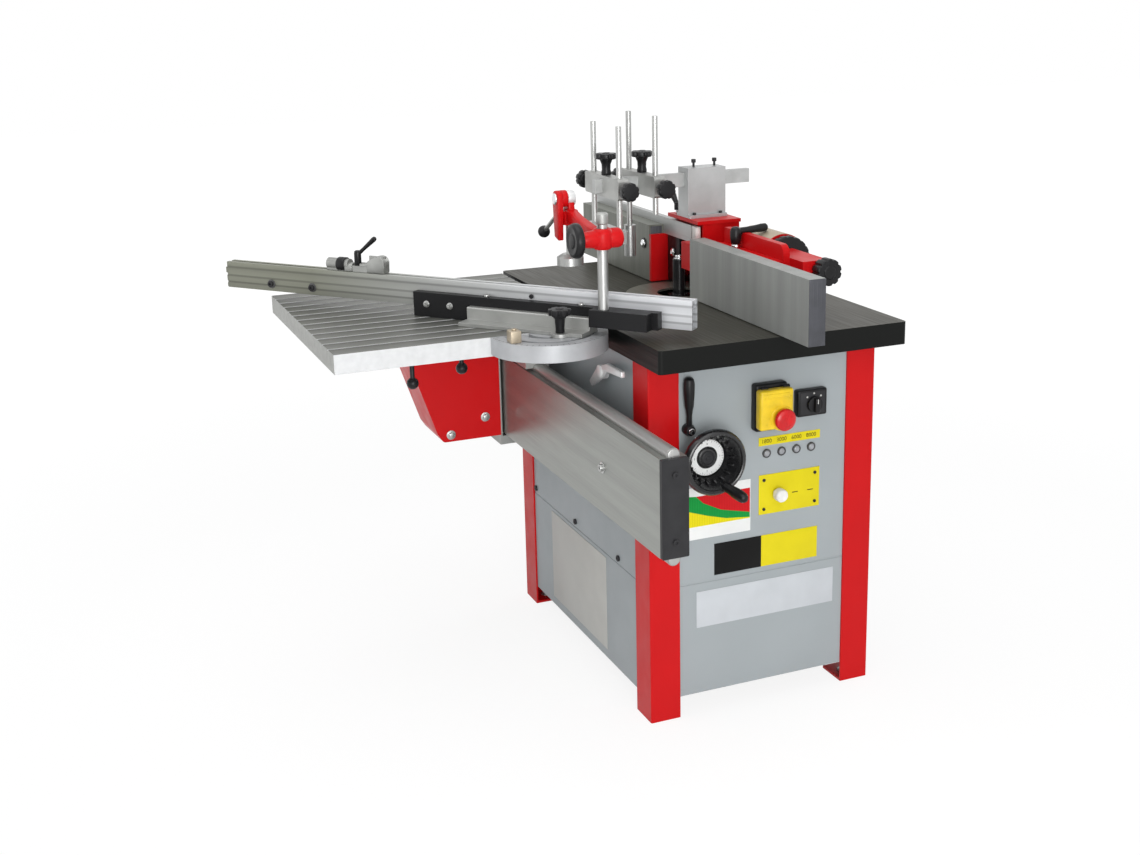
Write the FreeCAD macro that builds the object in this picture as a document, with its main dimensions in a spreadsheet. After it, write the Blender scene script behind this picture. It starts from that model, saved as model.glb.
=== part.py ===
"""Spindle moulder with a sliding cross-cut table, as an assembly of separate pieces in millimetres.

The origin lies on the floor midway between the four posts. +X runs along the feed towards the
control panel, +Y from the operator towards the fence, +Z up.
"""
import FreeCAD
import Part
import Sketcher
import math
import os
import re

SIZES = {
    # table and stand
    "table_height": 850.0,
    "table_length": 942.0,
    "table_depth": 580.0,
    "table_edge": 49.0,
    "table_offset": 8.0,
    "table_corner": 8.0,
    "table_web": 16.0,
    "pocket_inner": 150.0,
    "pocket_outer": 300.0,
    "pocket_reach": 190.0,
    "stand_length": 784.0,
    "stand_depth": 544.0,
    "post_along": 75.0,
    "post_across": 70.0,
    "post_wall": 4.0,
    "post_bend": 3.0,
    "foot_wall": 6.0,
    "anchor_radius": 6.0,
    "anchor_inset": 38.0,
    "rail_deep": 40.0,
    "rail_wall": 4.0,
    "panel_wall": 2.0,
    "panel_foot": 47.0,
    "panel_lap": 20.0,
    "seam_height": 305.0,
    "seam_width": 4.0,
    "seam_depth": 1.0,
    "run_gap": 0.05,
    "slide_gap": 0.3,
    # spindle, rings and drive
    "spindle_x": -28.0,
    "spindle_y": 2.0,
    "ring_seat": 125.0,
    "ring_ledge": 10.0,
    "ring_thick": 10.0,
    "ring_split": 85.0,
    "ring_bore": 52.0,
    "ring_step": 5.0,
    "arbor_radius": 15.0,
    "arbor_length": 84.0,
    "arbor_sink": 4.0,
    "arbor_chamfer": 2.0,
    "flange_radius": 26.0,
    "flange_thick": 10.0,
    "journal_radius": 20.0,
    "quill_radius": 48.0,
    "quill_bore": 34.0,
    "quill_drop": 65.0,
    "quill_length": 185.0,
    "bearing_thick": 17.0,
    "bracket_drop": 88.0,
    "bracket_deep": 72.0,
    "bracket_half": 80.0,
    "column_spread": 58.0,
    "column_radius": 12.5,
    "column_shift": 34.0,
    "bridge_drop": 298.0,
    "bridge_thick": 14.0,
    "bridge_half": 96.0,
    "bridge_deep": 26.0,
    "screw_radius": 10.0,
    "bevel_radius": 20.0,
    "bevel_small": 12.0,
    "bevel_thick": 14.0,
    "motor_spacing": 215.0,
    "motor_radius": 78.0,
    "motor_tall": 150.0,
    "motor_fins": 12,
    "fin_deep": 5.0,
    "fin_radius": 8.0,
    "motor_dome": 15.0,
    "motor_inset": 10.0,
    "motor_cap": 20.0,
    "plate_thick": 12.0,
    "pulley_drop": 345.0,
    "pulley_step": 15.0,
    "pulley_steps": 4,
    "spindle_pulley_small": 34.0,
    "motor_pulley_small": 44.0,
    "pulley_rise": 9.0,
    "groove_deep": 6.0,
    "groove_low": 5.25,
    "groove_high": 9.75,
    "shaft_radius": 12.0,
    "belt_thick": 5.0,
    # height handwheel
    "wheel_y": -153.0,
    "wheel_drop": 252.0,
    "wheel_reach": 70.0,
    "wheel_radius": 71.0,
    "wheel_rim": 13.0,
    "hub_radius": 22.0,
    "hub_out": 14.0,
    "hub_long": 26.0,
    "dial_radius": 40.0,
    "dial_thick": 5.0,
    "dish_wall": 5.0,
    "dish_deep": 8.0,
    "axle_radius": 10.0,
    "grip_angle": -68.0,
    "grip_orbit": 58.0,
    "grip_long": 82.0,
    "grip_radius": 12.0,
    "grip_neck": 9.6,
    "grip_swell": 45.0,
    "grip_tip": 10.8,
    "clamp_y": -182.0,
    "clamp_drop": 195.0,
    "clamp_out": 22.0,
    "clamp_long": 122.0,
    "clamp_handle": 9.0,
    "clamp_stem": 6.0,
    "clamp_boss": 12.6,
    "clamp_stem_long": 61.0,
    "clamp_root": 48.8,
    "clamp_swell": 97.6,
    # controls on the panel
    "switch_y": 10.0,
    "switch_drop": 173.0,
    "switch_wide": 72.0,
    "switch_tall": 124.0,
    "switch_deep": 24.0,
    "flap_wide": 68.0,
    "flap_tall": 100.0,
    "flap_deep": 24.0,
    "hinge_radius": 5.0,
    "button_radius": 24.0,
    "button_rise": 24.0,
    "button_stem": 8.0,
    "button_neck": 9.6,
    "button_brow": 18.0,
    "button_crown": 19.2,
    "button_drop": 13.0,
    "button_side": 7.0,
    "selector_y": 111.0,
    "selector_drop": 174.0,
    "selector_side": 70.0,
    "selector_deep": 20.0,
    "selector_knob": 18.0,
    "selector_out": 18.0,
    "selector_bar": 16.2,
    "lamp_first": 7.0,
    "lamp_pitch": 36.6,
    "lamp_drop": 276.0,
    "lamp_radius": 10.0,
    "lamp_out": 6.0,
    "lamp_face": 8.0,
    "pin_y": 31.0,
    "pin_drop": 368.0,
    "pin_radius": 16.0,
    "pin_out": 20.0,
    "pin_stem": 7.0,
    "pin_stroke": 12.0,
    "pin_brow": 16.0,
    "pin_face": 12.8,
    # sliding beam
    "beam_length": 1280.0,
    "beam_width": 57.0,
    "beam_height": 200.0,
    "beam_drop": 162.0,
    "beam_gap": 33.0,
    "beam_wall": 5.0,
    "guide_radius": 14.0,
    "guide_rise": 5.0,
    "cap_wall": 10.0,
    "lug_wide": 60.0,
    "lug_tall": 120.0,
    "hook_x": 185.0,
    "hook_drop": 108.0,
    "hook_pin": 7.0,
    "hook_reach": 24.0,
    "hook_long": 62.0,
    "hook_wide": 16.0,
    "hook_thick": 9.6,
    "hook_fall": 34.1,
    "hook_jaw": 49.6,
    "hook_tip": 43.4,
    "hook_tail": 37.2,
    "hook_raise": 27.2,
    # carriage, gusset and cross-cut table
    "saddle_inset": 8.0,
    "saddle_length": 350.0,
    "saddle_clear": 6.0,
    "saddle_wall": 6.0,
    "saddle_lip": 4.0,
    "shoe_deep": 28.0,
    "gusset_inset": 180.0,
    "gusset_depth": 150.0,
    "gusset_wall": 5.0,
    "gusset_fold": 6.0,
    "gusset_top": 260.0,
    "gusset_base": 160.0,
    "gusset_rise": 22.0,
    "gusset_toe": 14.0,
    "gusset_tall": 322.0,
    "slab_near": 202.0,
    "slab_length": 640.0,
    "slab_depth": 576.0,
    "slab_gap": 12.0,
    "slab_thick": 41.0,
    "slab_grooves": 12,
    "groove_wide": 6.0,
    "slab_groove": 3.0,
    "slab_cells": 8,
    "cell_wide": 64.0,
    "cell_tall": 26.0,
    "cell_floor": 7.0,
    "cell_end": 4.0,
    "ball_radius": 10.0,
    "ball_stem": 5.0,
    "ball_x": 100.0,
    "ball_near_y": -575.0,
    "ball_near_drop": 45.0,
    "ball_far_y": -684.0,
    "ball_far_drop": 65.0,
    # mitre disc and fence carrier, in the fence's own turned frame
    "pivot_x": 212.0,
    "pivot_y": -417.0,
    "mitre_angle": 40.5,
    "disc_radius": 125.0,
    "disc_thick": 36.0,
    "slot_outer": 98.0,
    "slot_inner": 88.0,
    "slot_deep": 14.0,
    "arc_deep": 24.0,
    "knob_orbit": 50.0,
    "knob_angle": -32.5,
    "ear_radius": 20.0,
    "pivot_radius": 8.0,
    "collar_radius": 9.5,
    "carrier_gap": 0.4,
    "carrier_left": 205.0,
    "carrier_right": 92.0,
    "carrier_front": 26.0,
    "carrier_base": 8.0,
    "rib_front": 10.0,
    "rib_back": 26.0,
    "rib_top": 34.0,
    "holder_seat": 18.0,
    "holder_left": 352.0,
    "holder_right": 240.0,
    "holder_tall": 36.0,
    "block_left": 94.0,
    "block_front": 2.0,
    "fence_front": 46.0,
    "fence_thick": 28.0,
    "fence_lift": 20.0,
    "fence_tall": 61.0,
    "fence_left": 888.0,
    "fence_right": 307.0,
    "fence_wall": 3.0,
    "tee_mouth": 8.0,
    "tee_wide": 16.0,
    "tee_neck": 6.0,
    "tee_deep": 10.0,
    "stop_u": -600.0,
    "stop_long": 155.0,
    "stop_half": 10.0,
    "stop_base": 14.0,
    "stop_barrel": 13.0,
    "barrel_long": 58.0,
    "tongue_long": 42.0,
    "tongue_tall": 24.0,
    "tongue_half": 2.5,
    "stop_pin_along": 80.0,
    "stop_pin": 4.0,
    "stop_hub": 8.0,
    "stop_grip": 4.8,
    "stop_hub_tall": 34.0,
    "stop_arm": 52.0,
    "stop_arm_rise": 32.0,
    # hold-down clamp on the fence
    "post_u": 120.0,
    "post_v": 20.0,
    "pillar_radius": 11.0,
    "pillar_over": 232.0,
    "arm_heading": 139.5,
    "arm_over": 180.0,
    "arm_boss_tall": 44.0,
    "arm_boss": 23.0,
    "arm_reach": 181.0,
    "arm_wide": 24.0,
    "arm_tall": 26.0,
    "arm_rise": 26.0,
    "arm_end": 19.0,
    "tail_reach": 24.0,
    "tail_boss": 20.0,
    "tip_tall": 30.0,
    "plunger_radius": 8.0,
    "plunger_over": 220.0,
    "pad_radius": 29.0,
    "pad_over": 118.0,
    "pad_thick": 24.0,
    "pad_rim": 17.0,
    "pad_neck": 18.0,
    "lug_reach": 46.0,
    "lug_radius": 13.0,
    "knob_screw": 6.0,
    "wheel_knob": 36.0,
    "wheel_knob_thick": 22.0,
    "ear_over": 262.0,
    "ear_top": 10.0,
    "ear_wall": 14.0,
    "cam_pin": 6.0,
    "cam_radius": 18.0,
    "cam_thick": 24.0,
    "lever_foot": 4.0,
    "lever_drop": 82.0,
    "ball_reach": 89.0,
    "tail_radius": 4.5,
    "tail_level": 18.0,
    "tail_root": 37.0,
    "ball_fall": 83.0,
    "cam_ball": 10.0,
    # fence and hood
    "plate_front": -8.0,
    "fence_plate": 38.0,
    "plate_gap": 2.0,
    "plate_tall": 136.0,
    "plate_skin": 4.0,
    "infeed_start": 50.0,
    "infeed_end": 580.0,
    "outfeed_start": -172.0,
    "outfeed_end": -590.0,
    "hood_left": -208.0,
    "hood_right": 58.0,
    "hood_front": 46.0,
    "hood_back": 200.0,
    "shoulder_over": 112.0,
    "hood_over": 162.0,
    "crown_left": -134.0,
    "crown_right": 10.0,
    "crown_back": 140.0,
    "lip_over": 8.0,
    "lip_front": 18.0,
    "lip_thick": 8.0,
    "hood_wall": 6.0,
    "duct_radius": 50.0,
    "duct_long": 60.0,
    "duct_wall": 3.0,
    "duct_over": 56.0,
    "hood_bend": 10.0,
    "bar_left": -590.0,
    "bar_right": -20.0,
    "bar_thick": 14.0,
    "bar_over": 116.0,
    "bar_tall": 40.0,
    "arm_far": 300.0,
    "carrier_over": 126.0,
    "carrier_deep": 44.0,
    "housing_right": 330.0,
    "housing_front": 76.0,
    "housing_back": 92.0,
    "housing_over": 160.0,
    "housing_round": 20.0,
    "barrel_y": 150.0,
    "barrel_over": 100.0,
    "barrel_radius": 58.5,
    "barrel_end": 200.0,
    "nose_left": 232.0,
    "nose_right": 385.0,
    "nose_back": 162.0,
    "nose_over": 88.0,
    "nose_tall": 44.0,
    "nose_round": 9.0,
    "bracket_wall": 10.0,
    "tab_over": 64.0,
    "tab_wide": 44.0,
    "depth_radius": 57.0,
    "depth_lobes": 10,
    "knob_radius": 29.0,
    "knob_long": 34.0,
    "knob_thick": 26.0,
    "knob_stem": 8.0,
    "knob_lobes": 8,
    "lever_x": 140.0,
    "lever_y": 62.0,
    "lever_hub": 11.0,
    "lever_pin": 5.5,
    "lever_sink": 20.0,
    "lever_tall": 50.0,
    "lever_long": 80.0,
    "lever_rise": 14.0,
    "lever_grip": 8.0,
    # shape of the hand knobs, as shares of their radius or thickness
    "knob_edge": 0.12,
    "knob_waist": 0.62,
    "knob_belly": 0.45,
    "hollow_orbit": 1.16,
    "hollow_size": 0.3,
    # pressure unit above the hood
    "tower_left": -88.0,
    "tower_right": -35.0,
    "tower_front": 30.0,
    "tower_back": 127.0,
    "tower_tall": 116.0,
    "tower_foot": 8.0,
    "tower_flange": 9.0,
    "beam_bar": 14.0,
    "beam_bar_tall": 32.0,
    "beam_bar_over": 242.0,
    "bar_reach_front": -196.0,
    "bar_reach_back": 200.0,
    "head_front_y": -164.0,
    "head_rear_y": -75.0,
    "head_half": 97.0,
    "head_deep": 26.0,
    "head_tall": 48.0,
    "head_over": 234.0,
    "rod_spread": 73.0,
    "rod_radius": 6.5,
    "front_rod_over": 397.0,
    "rear_rod_over": 416.0,
    "pad_bar_over": 136.0,
    "pad_bar_tall": 28.0,
    "pad_bar_half": 92.0,
    "pad_bar_deep": 30.0,
    "rear_guide_over": 194.0,
    "shoe_radius": 13.5,
    "shoe_over": 76.0,
    "shoe_tall": 74.0,
    "star_radius": 24.0,
    "star_thick": 16.0,
    "star_stem": 5.0,
    "star_lift": 34.0,
    "star_lobes": 6,
    "side_knob": 21.0,
    "side_thick": 20.0,
    "side_stem": 5.0,
    "side_lift": 22.0,
}

DERIVED = {
    "arbor_base": "table_height - arbor_sink",
    "quill_top": "table_height - quill_drop",
    "bracket_top": "table_height - bracket_drop",
    "bridge_top": "table_height - bridge_drop",
    "pulley_base": "table_height - pulley_drop",
    "wheel_z": "table_height - wheel_drop",
    "clamp_z": "table_height - clamp_drop",
    "switch_z": "table_height - switch_drop",
    "selector_z": "table_height - selector_drop",
    "lamp_z": "table_height - lamp_drop",
    "pin_z": "table_height - pin_drop",
    "beam_top": "table_height - beam_drop",
    "hook_z": "table_height - hook_drop",
    "pillar_top": "table_height + pillar_over",
    "arm_base": "table_height + arm_over",
    "plunger_top": "table_height + plunger_over",
    "pad_base": "table_height + pad_over",
    "ear_pin": "table_height + ear_over",
    "plate_base": "table_height + plate_gap",
    "hood_shoulder": "table_height + shoulder_over",
    "hood_top": "table_height + hood_over",
    "duct_z": "table_height + duct_over",
    "bar_base": "table_height + bar_over",
    "carrier_top": "table_height + carrier_over",
    "housing_top": "table_height + housing_over",
    "barrel_z": "table_height + barrel_over",
    "nose_base": "table_height + nose_over",
    "tab_base": "table_height + tab_over",
    "beam_bar_base": "table_height + beam_bar_over",
    "head_base": "table_height + head_over",
    "front_rod_top": "table_height + front_rod_over",
    "rear_rod_top": "table_height + rear_rod_over",
    "pad_bar_base": "table_height + pad_bar_over",
    "rear_guide_base": "table_height + rear_guide_over",
    "shoe_base": "table_height + shoe_over",
    "nose_top": "nose_base + nose_tall",
    "stand_x": "stand_length / 2",
    "stand_y": "stand_depth / 2",
    "table_under": "table_height - table_edge",
    "table_front": "table_offset - table_depth / 2",
    "table_rear": "table_offset + table_depth / 2",
    "panel_out_x": "stand_x - post_wall",
    "panel_in_x": "panel_out_x - panel_wall",
    "panel_out_y": "stand_y - post_wall",
    "panel_in_y": "panel_out_y - panel_wall",
    "panel_half_x": "stand_x - post_along + panel_lap",
    "panel_half_y": "stand_y - post_across + panel_lap",
    "beam_back": "-stand_y - beam_gap",
    "beam_front": "beam_back - beam_width",
    "beam_mid": "beam_back - beam_width / 2",
    "beam_bottom": "beam_top - beam_height",
    "beam_end": "beam_length / 2",
    "guide_high": "beam_top + guide_rise",
    "guide_low": "beam_bottom - guide_rise",
    "quill_base": "quill_top - quill_length",
    "bracket_base": "bracket_top - bracket_deep",
    "bracket_front": "wheel_y - bridge_deep",
    "column_y": "wheel_y + column_shift",
    "bridge_back": "column_y + bridge_deep",
    "bridge_base": "bridge_top - bridge_thick",
    "motor_x": "spindle_x - motor_spacing",
    "pulley_top": "pulley_base + pulley_steps * pulley_step",
    "belt_level": "pulley_base + pulley_step / 2",
    "slab_under": "table_height - slab_thick",
    "slab_back": "table_front - slab_gap",
    "slab_front": "slab_back - slab_depth",
    "slab_far": "slab_near - slab_length",
    "saddle_far": "slab_far + saddle_inset",
    "saddle_near": "saddle_far + saddle_length",
    "gusset_near": "slab_far + gusset_inset",
    "saddle_front": "beam_front - saddle_lip",
    "skirt_front": "saddle_front - saddle_wall",
    "skirt_near": "gusset_near - saddle_wall",
    "seat": "table_height + carrier_gap",
    "arc_floor": "table_height - arc_deep",
    "arc_outer": "knob_orbit + pivot_radius + slide_gap",
    "arc_inner": "knob_orbit - pivot_radius - slide_gap",
    "knob_u": "knob_orbit * cos(knob_angle)",
    "knob_v": "knob_orbit * sin(knob_angle)",
    "fence_back": "fence_front + fence_thick",
    "fence_base": "table_height + fence_lift",
    "fence_top": "fence_base + fence_tall",
    "fence_centre": "fence_front + fence_thick / 2",
    "holder_base": "seat + holder_seat",
    "holder_top": "holder_base + holder_tall",
    "stop_pin_u": "stop_u + stop_pin_along",
    "stop_floor": "fence_top + slide_gap",
    "stop_deck": "stop_floor + stop_base",
    "arm_top": "arm_base + arm_boss_tall",
    "arm_middle": "arm_base + arm_boss_tall / 2",
    "tip_base": "arm_base + arm_rise",
    "tip_top": "tip_base + tip_tall",
    "plate_back": "plate_front + fence_plate",
    "hood_base": "table_height + slide_gap",
    "plate_top": "plate_base + plate_tall",
    "lip_top": "hood_top + lip_thick",
    "crown_mid": "(tower_left + tower_right) / 2",
    "tower_top": "lip_top + tower_tall",
    "head_top": "head_base + head_tall",
    "head_mid": "head_base + head_tall / 2",
    "bar_front": "plate_back + slide_gap",
    "bar_back": "bar_front + bar_thick",
    "nose_mid_y": "nose_back - (nose_top - nose_base) / 2",
    "nose_mid_z": "(nose_base + nose_top) / 2",
}

HEADINGS = {
    "x": FreeCAD.Rotation(FreeCAD.Vector(1, 1, 1), 120),
    "y": FreeCAD.Rotation(FreeCAD.Vector(1, 0, 0), 90),
    "-y": FreeCAD.Rotation(FreeCAD.Vector(1, 0, 0), -90),
    "-x": FreeCAD.Rotation(FreeCAD.Vector(0, 1, 0), -90),
    "z": FreeCAD.Rotation(),
}

doc = FreeCAD.newDocument("spindle_moulder")
sheet = doc.addObject("Spreadsheet::Sheet", "sizes")
for row, (alias, value) in enumerate(SIZES.items(), start=1):
    sheet.set(f"A{row}", alias)
    sheet.set(f"B{row}", str(value))
    sheet.setAlias(f"B{row}", alias)
doc.recompute()

nodes = {}


def bound(text):
    """Turn size names into references to the sheet, with derived names written out."""

    def reference(match):
        word = match.group(0)
        if word in DERIVED:
            return f"({bound(DERIVED[word])})"
        if word in SIZES:
            return f"sizes.{word}"
        return word

    return re.sub(r"[a-z]\w*", reference, str(text))


def count(alias):
    """Read a whole number from the sheet."""
    return int(sheet.get(alias))


def place(item, at, heading="z"):
    """Put an item at bound coordinates, turned to a heading."""
    item.Placement = FreeCAD.Placement(FreeCAD.Vector(), HEADINGS[heading])
    for axis, text in zip("xyz", at):
        item.setExpression(f"Placement.Base.{axis}", bound(text))
    return item


def block(x_span, y_span, z_span):
    """Make a box between bound limits on the three axes."""
    item = doc.addObject("Part::Box", "block")
    for name, (low, high) in zip(("Length", "Width", "Height"), (x_span, y_span, z_span)):
        item.setExpression(name, bound(f"({high}) - ({low})"))
    return place(item, (x_span[0], y_span[0], z_span[0]))


def rod(axis, centre, span, radius):
    """Make a cylinder along an axis, between two bound positions on it."""
    item = doc.addObject("Part::Cylinder", "rod")
    item.setExpression("Radius", bound(radius))
    item.setExpression("Height", bound(f"({span[1]}) - ({span[0]})"))
    start = span[1] if axis == "y" else span[0]
    at = list(centre)
    at.insert("xyz".index(axis), start)
    return place(item, at, axis)


def ball(at, radius):
    """Make a sphere at a bound point."""
    item = doc.addObject("Part::Sphere", "ball")
    item.setExpression("Radius", bound(radius))
    return place(item, at)


def fuse(*items):
    """Join overlapping or touching items into one solid."""
    item = doc.addObject("Part::MultiFuse", "joined")
    item.Shapes = list(items)
    item.Refine = True
    return item


def group(*items):
    """Hold separate items together as one compound."""
    item = doc.addObject("Part::Compound", "group")
    item.Links = list(items)
    return item


def cut(base, *tools):
    """Take the tools away from the base."""
    item = doc.addObject("Part::Cut", "cut")
    item.Base = base
    item.Tool = tools[0] if len(tools) == 1 else fuse(*tools)
    item.Refine = True
    return item


def plane(body, role):
    """Find one of the body's own origin planes."""
    return next(face for face in body.Origin.OriginFeatures if face.Role == role)


def sketch_on(body, role):
    """Open a sketch on one of the body's origin planes."""
    sketch = body.newObject("Sketcher::SketchObject", "profile")
    sketch.AttachmentSupport = (plane(body, role), [""])
    sketch.MapMode = "FlatFace"
    return sketch


def trace(sketch, points):
    """Draw a closed outline whose corners are bound to the sheet."""
    total = len(points)
    turn = 2 * math.pi / total
    seeds = [FreeCAD.Vector(math.cos(turn * i), math.sin(turn * i), 0) for i in range(total)]
    for i in range(total):
        sketch.addGeometry(Part.LineSegment(seeds[i], seeds[(i + 1) % total]), False)
    for i in range(total):
        sketch.addConstraint(Sketcher.Constraint("Coincident", i, 2, (i + 1) % total, 1))
    for i, pair in enumerate(points):
        for kind, text, start in zip(("DistanceX", "DistanceY"), pair, seeds[i]):
            rule = sketch.addConstraint(Sketcher.Constraint(kind, -1, 1, i, 1, start))
            sketch.setExpression(f"Constraints[{rule}]", bound(text))


def circle(sketch, centre, radius):
    """Draw a circle with bound centre and radius."""
    index = sketch.addGeometry(Part.Circle(FreeCAD.Vector(1, 1, 0), FreeCAD.Vector(0, 0, 1), 1), False)
    for kind, text in zip(("DistanceX", "DistanceY"), centre):
        rule = sketch.addConstraint(Sketcher.Constraint(kind, -1, 1, index, 3, 1.0))
        sketch.setExpression(f"Constraints[{rule}]", bound(text))
    rule = sketch.addConstraint(Sketcher.Constraint("Radius", index, 1.0))
    sketch.setExpression(f"Constraints[{rule}]", bound(radius))


def upright(edge):
    """Say whether an edge runs along the pad's own direction."""
    first, last = edge.Vertexes[0].Point, edge.Vertexes[-1].Point
    return len(edge.Vertexes) == 2 and abs(first.x - last.x) + abs(first.y - last.y) < 1e-6


def prism(points, axis, span, bend=None, corners=None):
    """Pad an outline along an axis, with some of its corners rounded.

    The outline is (Y, Z) along x, (X, Z) along y and (X, Y) along z.
    """
    body = doc.addObject("PartDesign::Body", "prism")
    sketch = sketch_on(body, "XY_Plane")
    trace(sketch, points)
    pad = body.newObject("PartDesign::Pad", "pad")
    pad.Profile = sketch
    pad.setExpression("Length", bound(f"({span[1]}) - ({span[0]})"))
    start = span[1] if axis == "y" else span[0]
    at = {"x": (start, 0, 0), "y": (0, start, 0), "z": (0, 0, start)}[axis]
    place(body, at, axis)
    if bend:
        doc.recompute()
        wanted = range(len(points)) if corners is None else corners
        marks = [sketch.Geometry[i].StartPoint for i in wanted]
        names = []
        for number, edge in enumerate(pad.Shape.Edges, start=1):
            foot = edge.Vertexes[0].Point
            near = any(abs(foot.x - m.x) + abs(foot.y - m.y) < 1e-4 for m in marks)
            if upright(edge) and near:
                names.append(f"Edge{number}")
        fillet = body.newObject("PartDesign::Fillet", "bend")
        fillet.Base = (pad, names)
        fillet.setExpression("Radius", bound(bend))
    return body


def turned(profile, at, axis="z"):
    """Revolve an outline of (radius, height) pairs about an axis through a point."""
    body = doc.addObject("PartDesign::Body", "turned")
    sketch = sketch_on(body, "XZ_Plane")
    trace(sketch, profile)
    spin = body.newObject("PartDesign::Revolution", "revolved")
    spin.Profile = sketch
    spin.ReferenceAxis = (sketch, ["V_Axis"])
    spin.Angle = 360
    return place(body, at, axis)


def scallop(body, orbit, radius, copies):
    """Cut evenly spaced hollows through a turned body, parallel to its axis."""
    sketch = sketch_on(body, "XY_Plane")
    circle(sketch, (orbit, 0), radius)
    pocket = body.newObject("PartDesign::Pocket", "hollow")
    pocket.Profile = sketch
    pocket.Type = 1
    pocket.Midplane = True
    pattern = body.newObject("PartDesign::PolarPattern", "hollows")
    pattern.Originals = [pocket]
    pattern.Axis = (sketch, ["N_Axis"])
    pattern.Angle = 360
    pattern.setExpression("Occurrences", bound(copies))
    body.Tip = pattern
    return body


def hand_knob(at, axis, radius, thick, stem, stem_long, lobes):
    """Make a scalloped hand knob on a plain stem, with its stem foot at the point."""
    rim = f"({radius}) * knob_edge"
    profile = (
        (0, 0), (stem, 0), (stem, stem_long), (f"({radius}) * knob_waist", stem_long),
        (radius, f"({stem_long}) + ({thick}) * knob_belly"),
        (radius, f"({stem_long}) + ({thick}) - ({rim})"),
        (f"({radius}) - ({rim})", f"({stem_long}) + ({thick})"),
        (0, f"({stem_long}) + ({thick})"),
    )
    body = turned(profile, at, axis)
    return scallop(body, f"({radius}) * hollow_orbit", f"({radius}) * hollow_size", lobes)


def node(label, item):
    """Name a finished sub-part."""
    item.Label = label
    nodes[label] = item
    return item


def mitre_node(label, *items):
    """Name a sub-part drawn in the fence's frame and turn it about the mitre pivot."""
    item = items[0]
    if len(items) > 1:
        item = fuse(*items)
    elif item.TypeId != "Part::Cut":
        item = group(item)
    place(item, ("pivot_x", "pivot_y", 0))
    item.setExpression("Placement.Rotation.Angle", bound("mitre_angle"))
    return node(label, item)


def arm_node(label, item):
    """Name a sub-part drawn along the hold-down arm and swing it on its pillar."""
    u_part = "post_u * cos(mitre_angle) - post_v * sin(mitre_angle)"
    v_part = "post_u * sin(mitre_angle) + post_v * cos(mitre_angle)"
    place(item, (f"pivot_x + {u_part}", f"pivot_y + {v_part}", 0))
    item.setExpression("Placement.Rotation.Angle", bound("mitre_angle + arm_heading"))
    return node(label, item)


def rectangle(x_span, y_span):
    """List the corners of a rectangle between bound limits."""
    (left, right), (low, high) = x_span, y_span
    return ((left, low), (right, low), (right, high), (left, high))


def both(half):
    """Span a bound half-length both ways."""
    return (f"-({half})", half)


def build_stand():
    """Welded posts and rails, and the sheet panels between them."""
    pieces = []
    holes = []
    for sx in (-1, 1):
        for sy in (-1, 1):
            out_x, out_y = f"{sx} * stand_x", f"{sy} * stand_y"
            near_x, near_y = f"{sx} * (stand_x - post_wall)", f"{sy} * (stand_y - post_wall)"
            far_x, far_y = f"{sx} * (stand_x - post_along)", f"{sy} * (stand_y - post_across)"
            angle = ((out_x, out_y), (far_x, out_y), (far_x, near_y), (near_x, near_y),
                     (near_x, far_y), (out_x, far_y))
            pieces.append(prism(angle, "z", (0, "table_under"), "post_bend", (0,)))
            foot_x = (far_x, near_x) if sx > 0 else (near_x, far_x)
            foot_y = (far_y, near_y) if sy > 0 else (near_y, far_y)
            pieces.append(block(foot_x, foot_y, (0, "foot_wall")))
            hole = (f"{sx} * (stand_x - anchor_inset)", f"{sy} * (stand_y - anchor_inset)")
            holes.append(rod("z", hole, (0, "foot_wall"), "anchor_radius"))
    for low, high in (("panel_foot", "panel_foot + rail_deep"), ("table_under - rail_deep", "table_under")):
        for side in (-1, 1):
            inner, outer = f"{side} * (panel_in_y - rail_wall)", f"{side} * panel_in_y"
            span = (inner, outer) if side > 0 else (outer, inner)
            pieces.append(block(both("panel_out_x"), span, (low, high)))
            inner, outer = f"{side} * (panel_in_x - rail_wall)", f"{side} * panel_in_x"
            span = (inner, outer) if side > 0 else (outer, inner)
            pieces.append(block(span, both("panel_out_y"), (low, high)))
    for sx in (-1, 1):
        middle = f"{sx} * (stand_x - post_along / 2)"
        lug_x = (f"{middle} - lug_wide / 2", f"{middle} + lug_wide / 2")
        level = "beam_top - beam_height / 2"
        lug_z = (f"{level} - lug_tall / 2", f"{level} + lug_tall / 2")
        pieces.append(block(lug_x, ("beam_back", "-stand_y"), lug_z))
    node("post_frame", cut(fuse(*pieces), *holes))

    tall = ("panel_foot", "table_under")
    seam = ("seam_height - seam_width / 2", "seam_height + seam_width / 2")
    sheet_x = block(("panel_in_x", "panel_out_x"), both("panel_half_y"), tall)
    crease = block(("panel_out_x - seam_depth", "panel_out_x"), both("panel_half_y"), seam)
    axle = rod("x", ("wheel_y", "wheel_z"), ("panel_in_x", "panel_out_x"), "axle_radius + slide_gap")
    pin = rod("x", ("pin_y", "pin_z"), ("panel_in_x", "panel_out_x"), "pin_stem + slide_gap")
    node("panel_control", cut(sheet_x, crease, axle, pin))
    sheet_y = block(both("panel_half_x"), ("-(panel_out_y)", "-(panel_in_y)"), tall)
    crease = block(both("panel_half_x"), ("-(panel_out_y)", "-(panel_out_y) + seam_depth"), seam)
    node("panel_front", cut(sheet_y, crease))
    rear = block(both("panel_half_x"), ("panel_in_y", "panel_out_y"), tall)
    end = block(("-(panel_out_x)", "-(panel_in_x)"), both("panel_half_y"), tall)
    node("blank_panels", group(rear, end))


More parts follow.
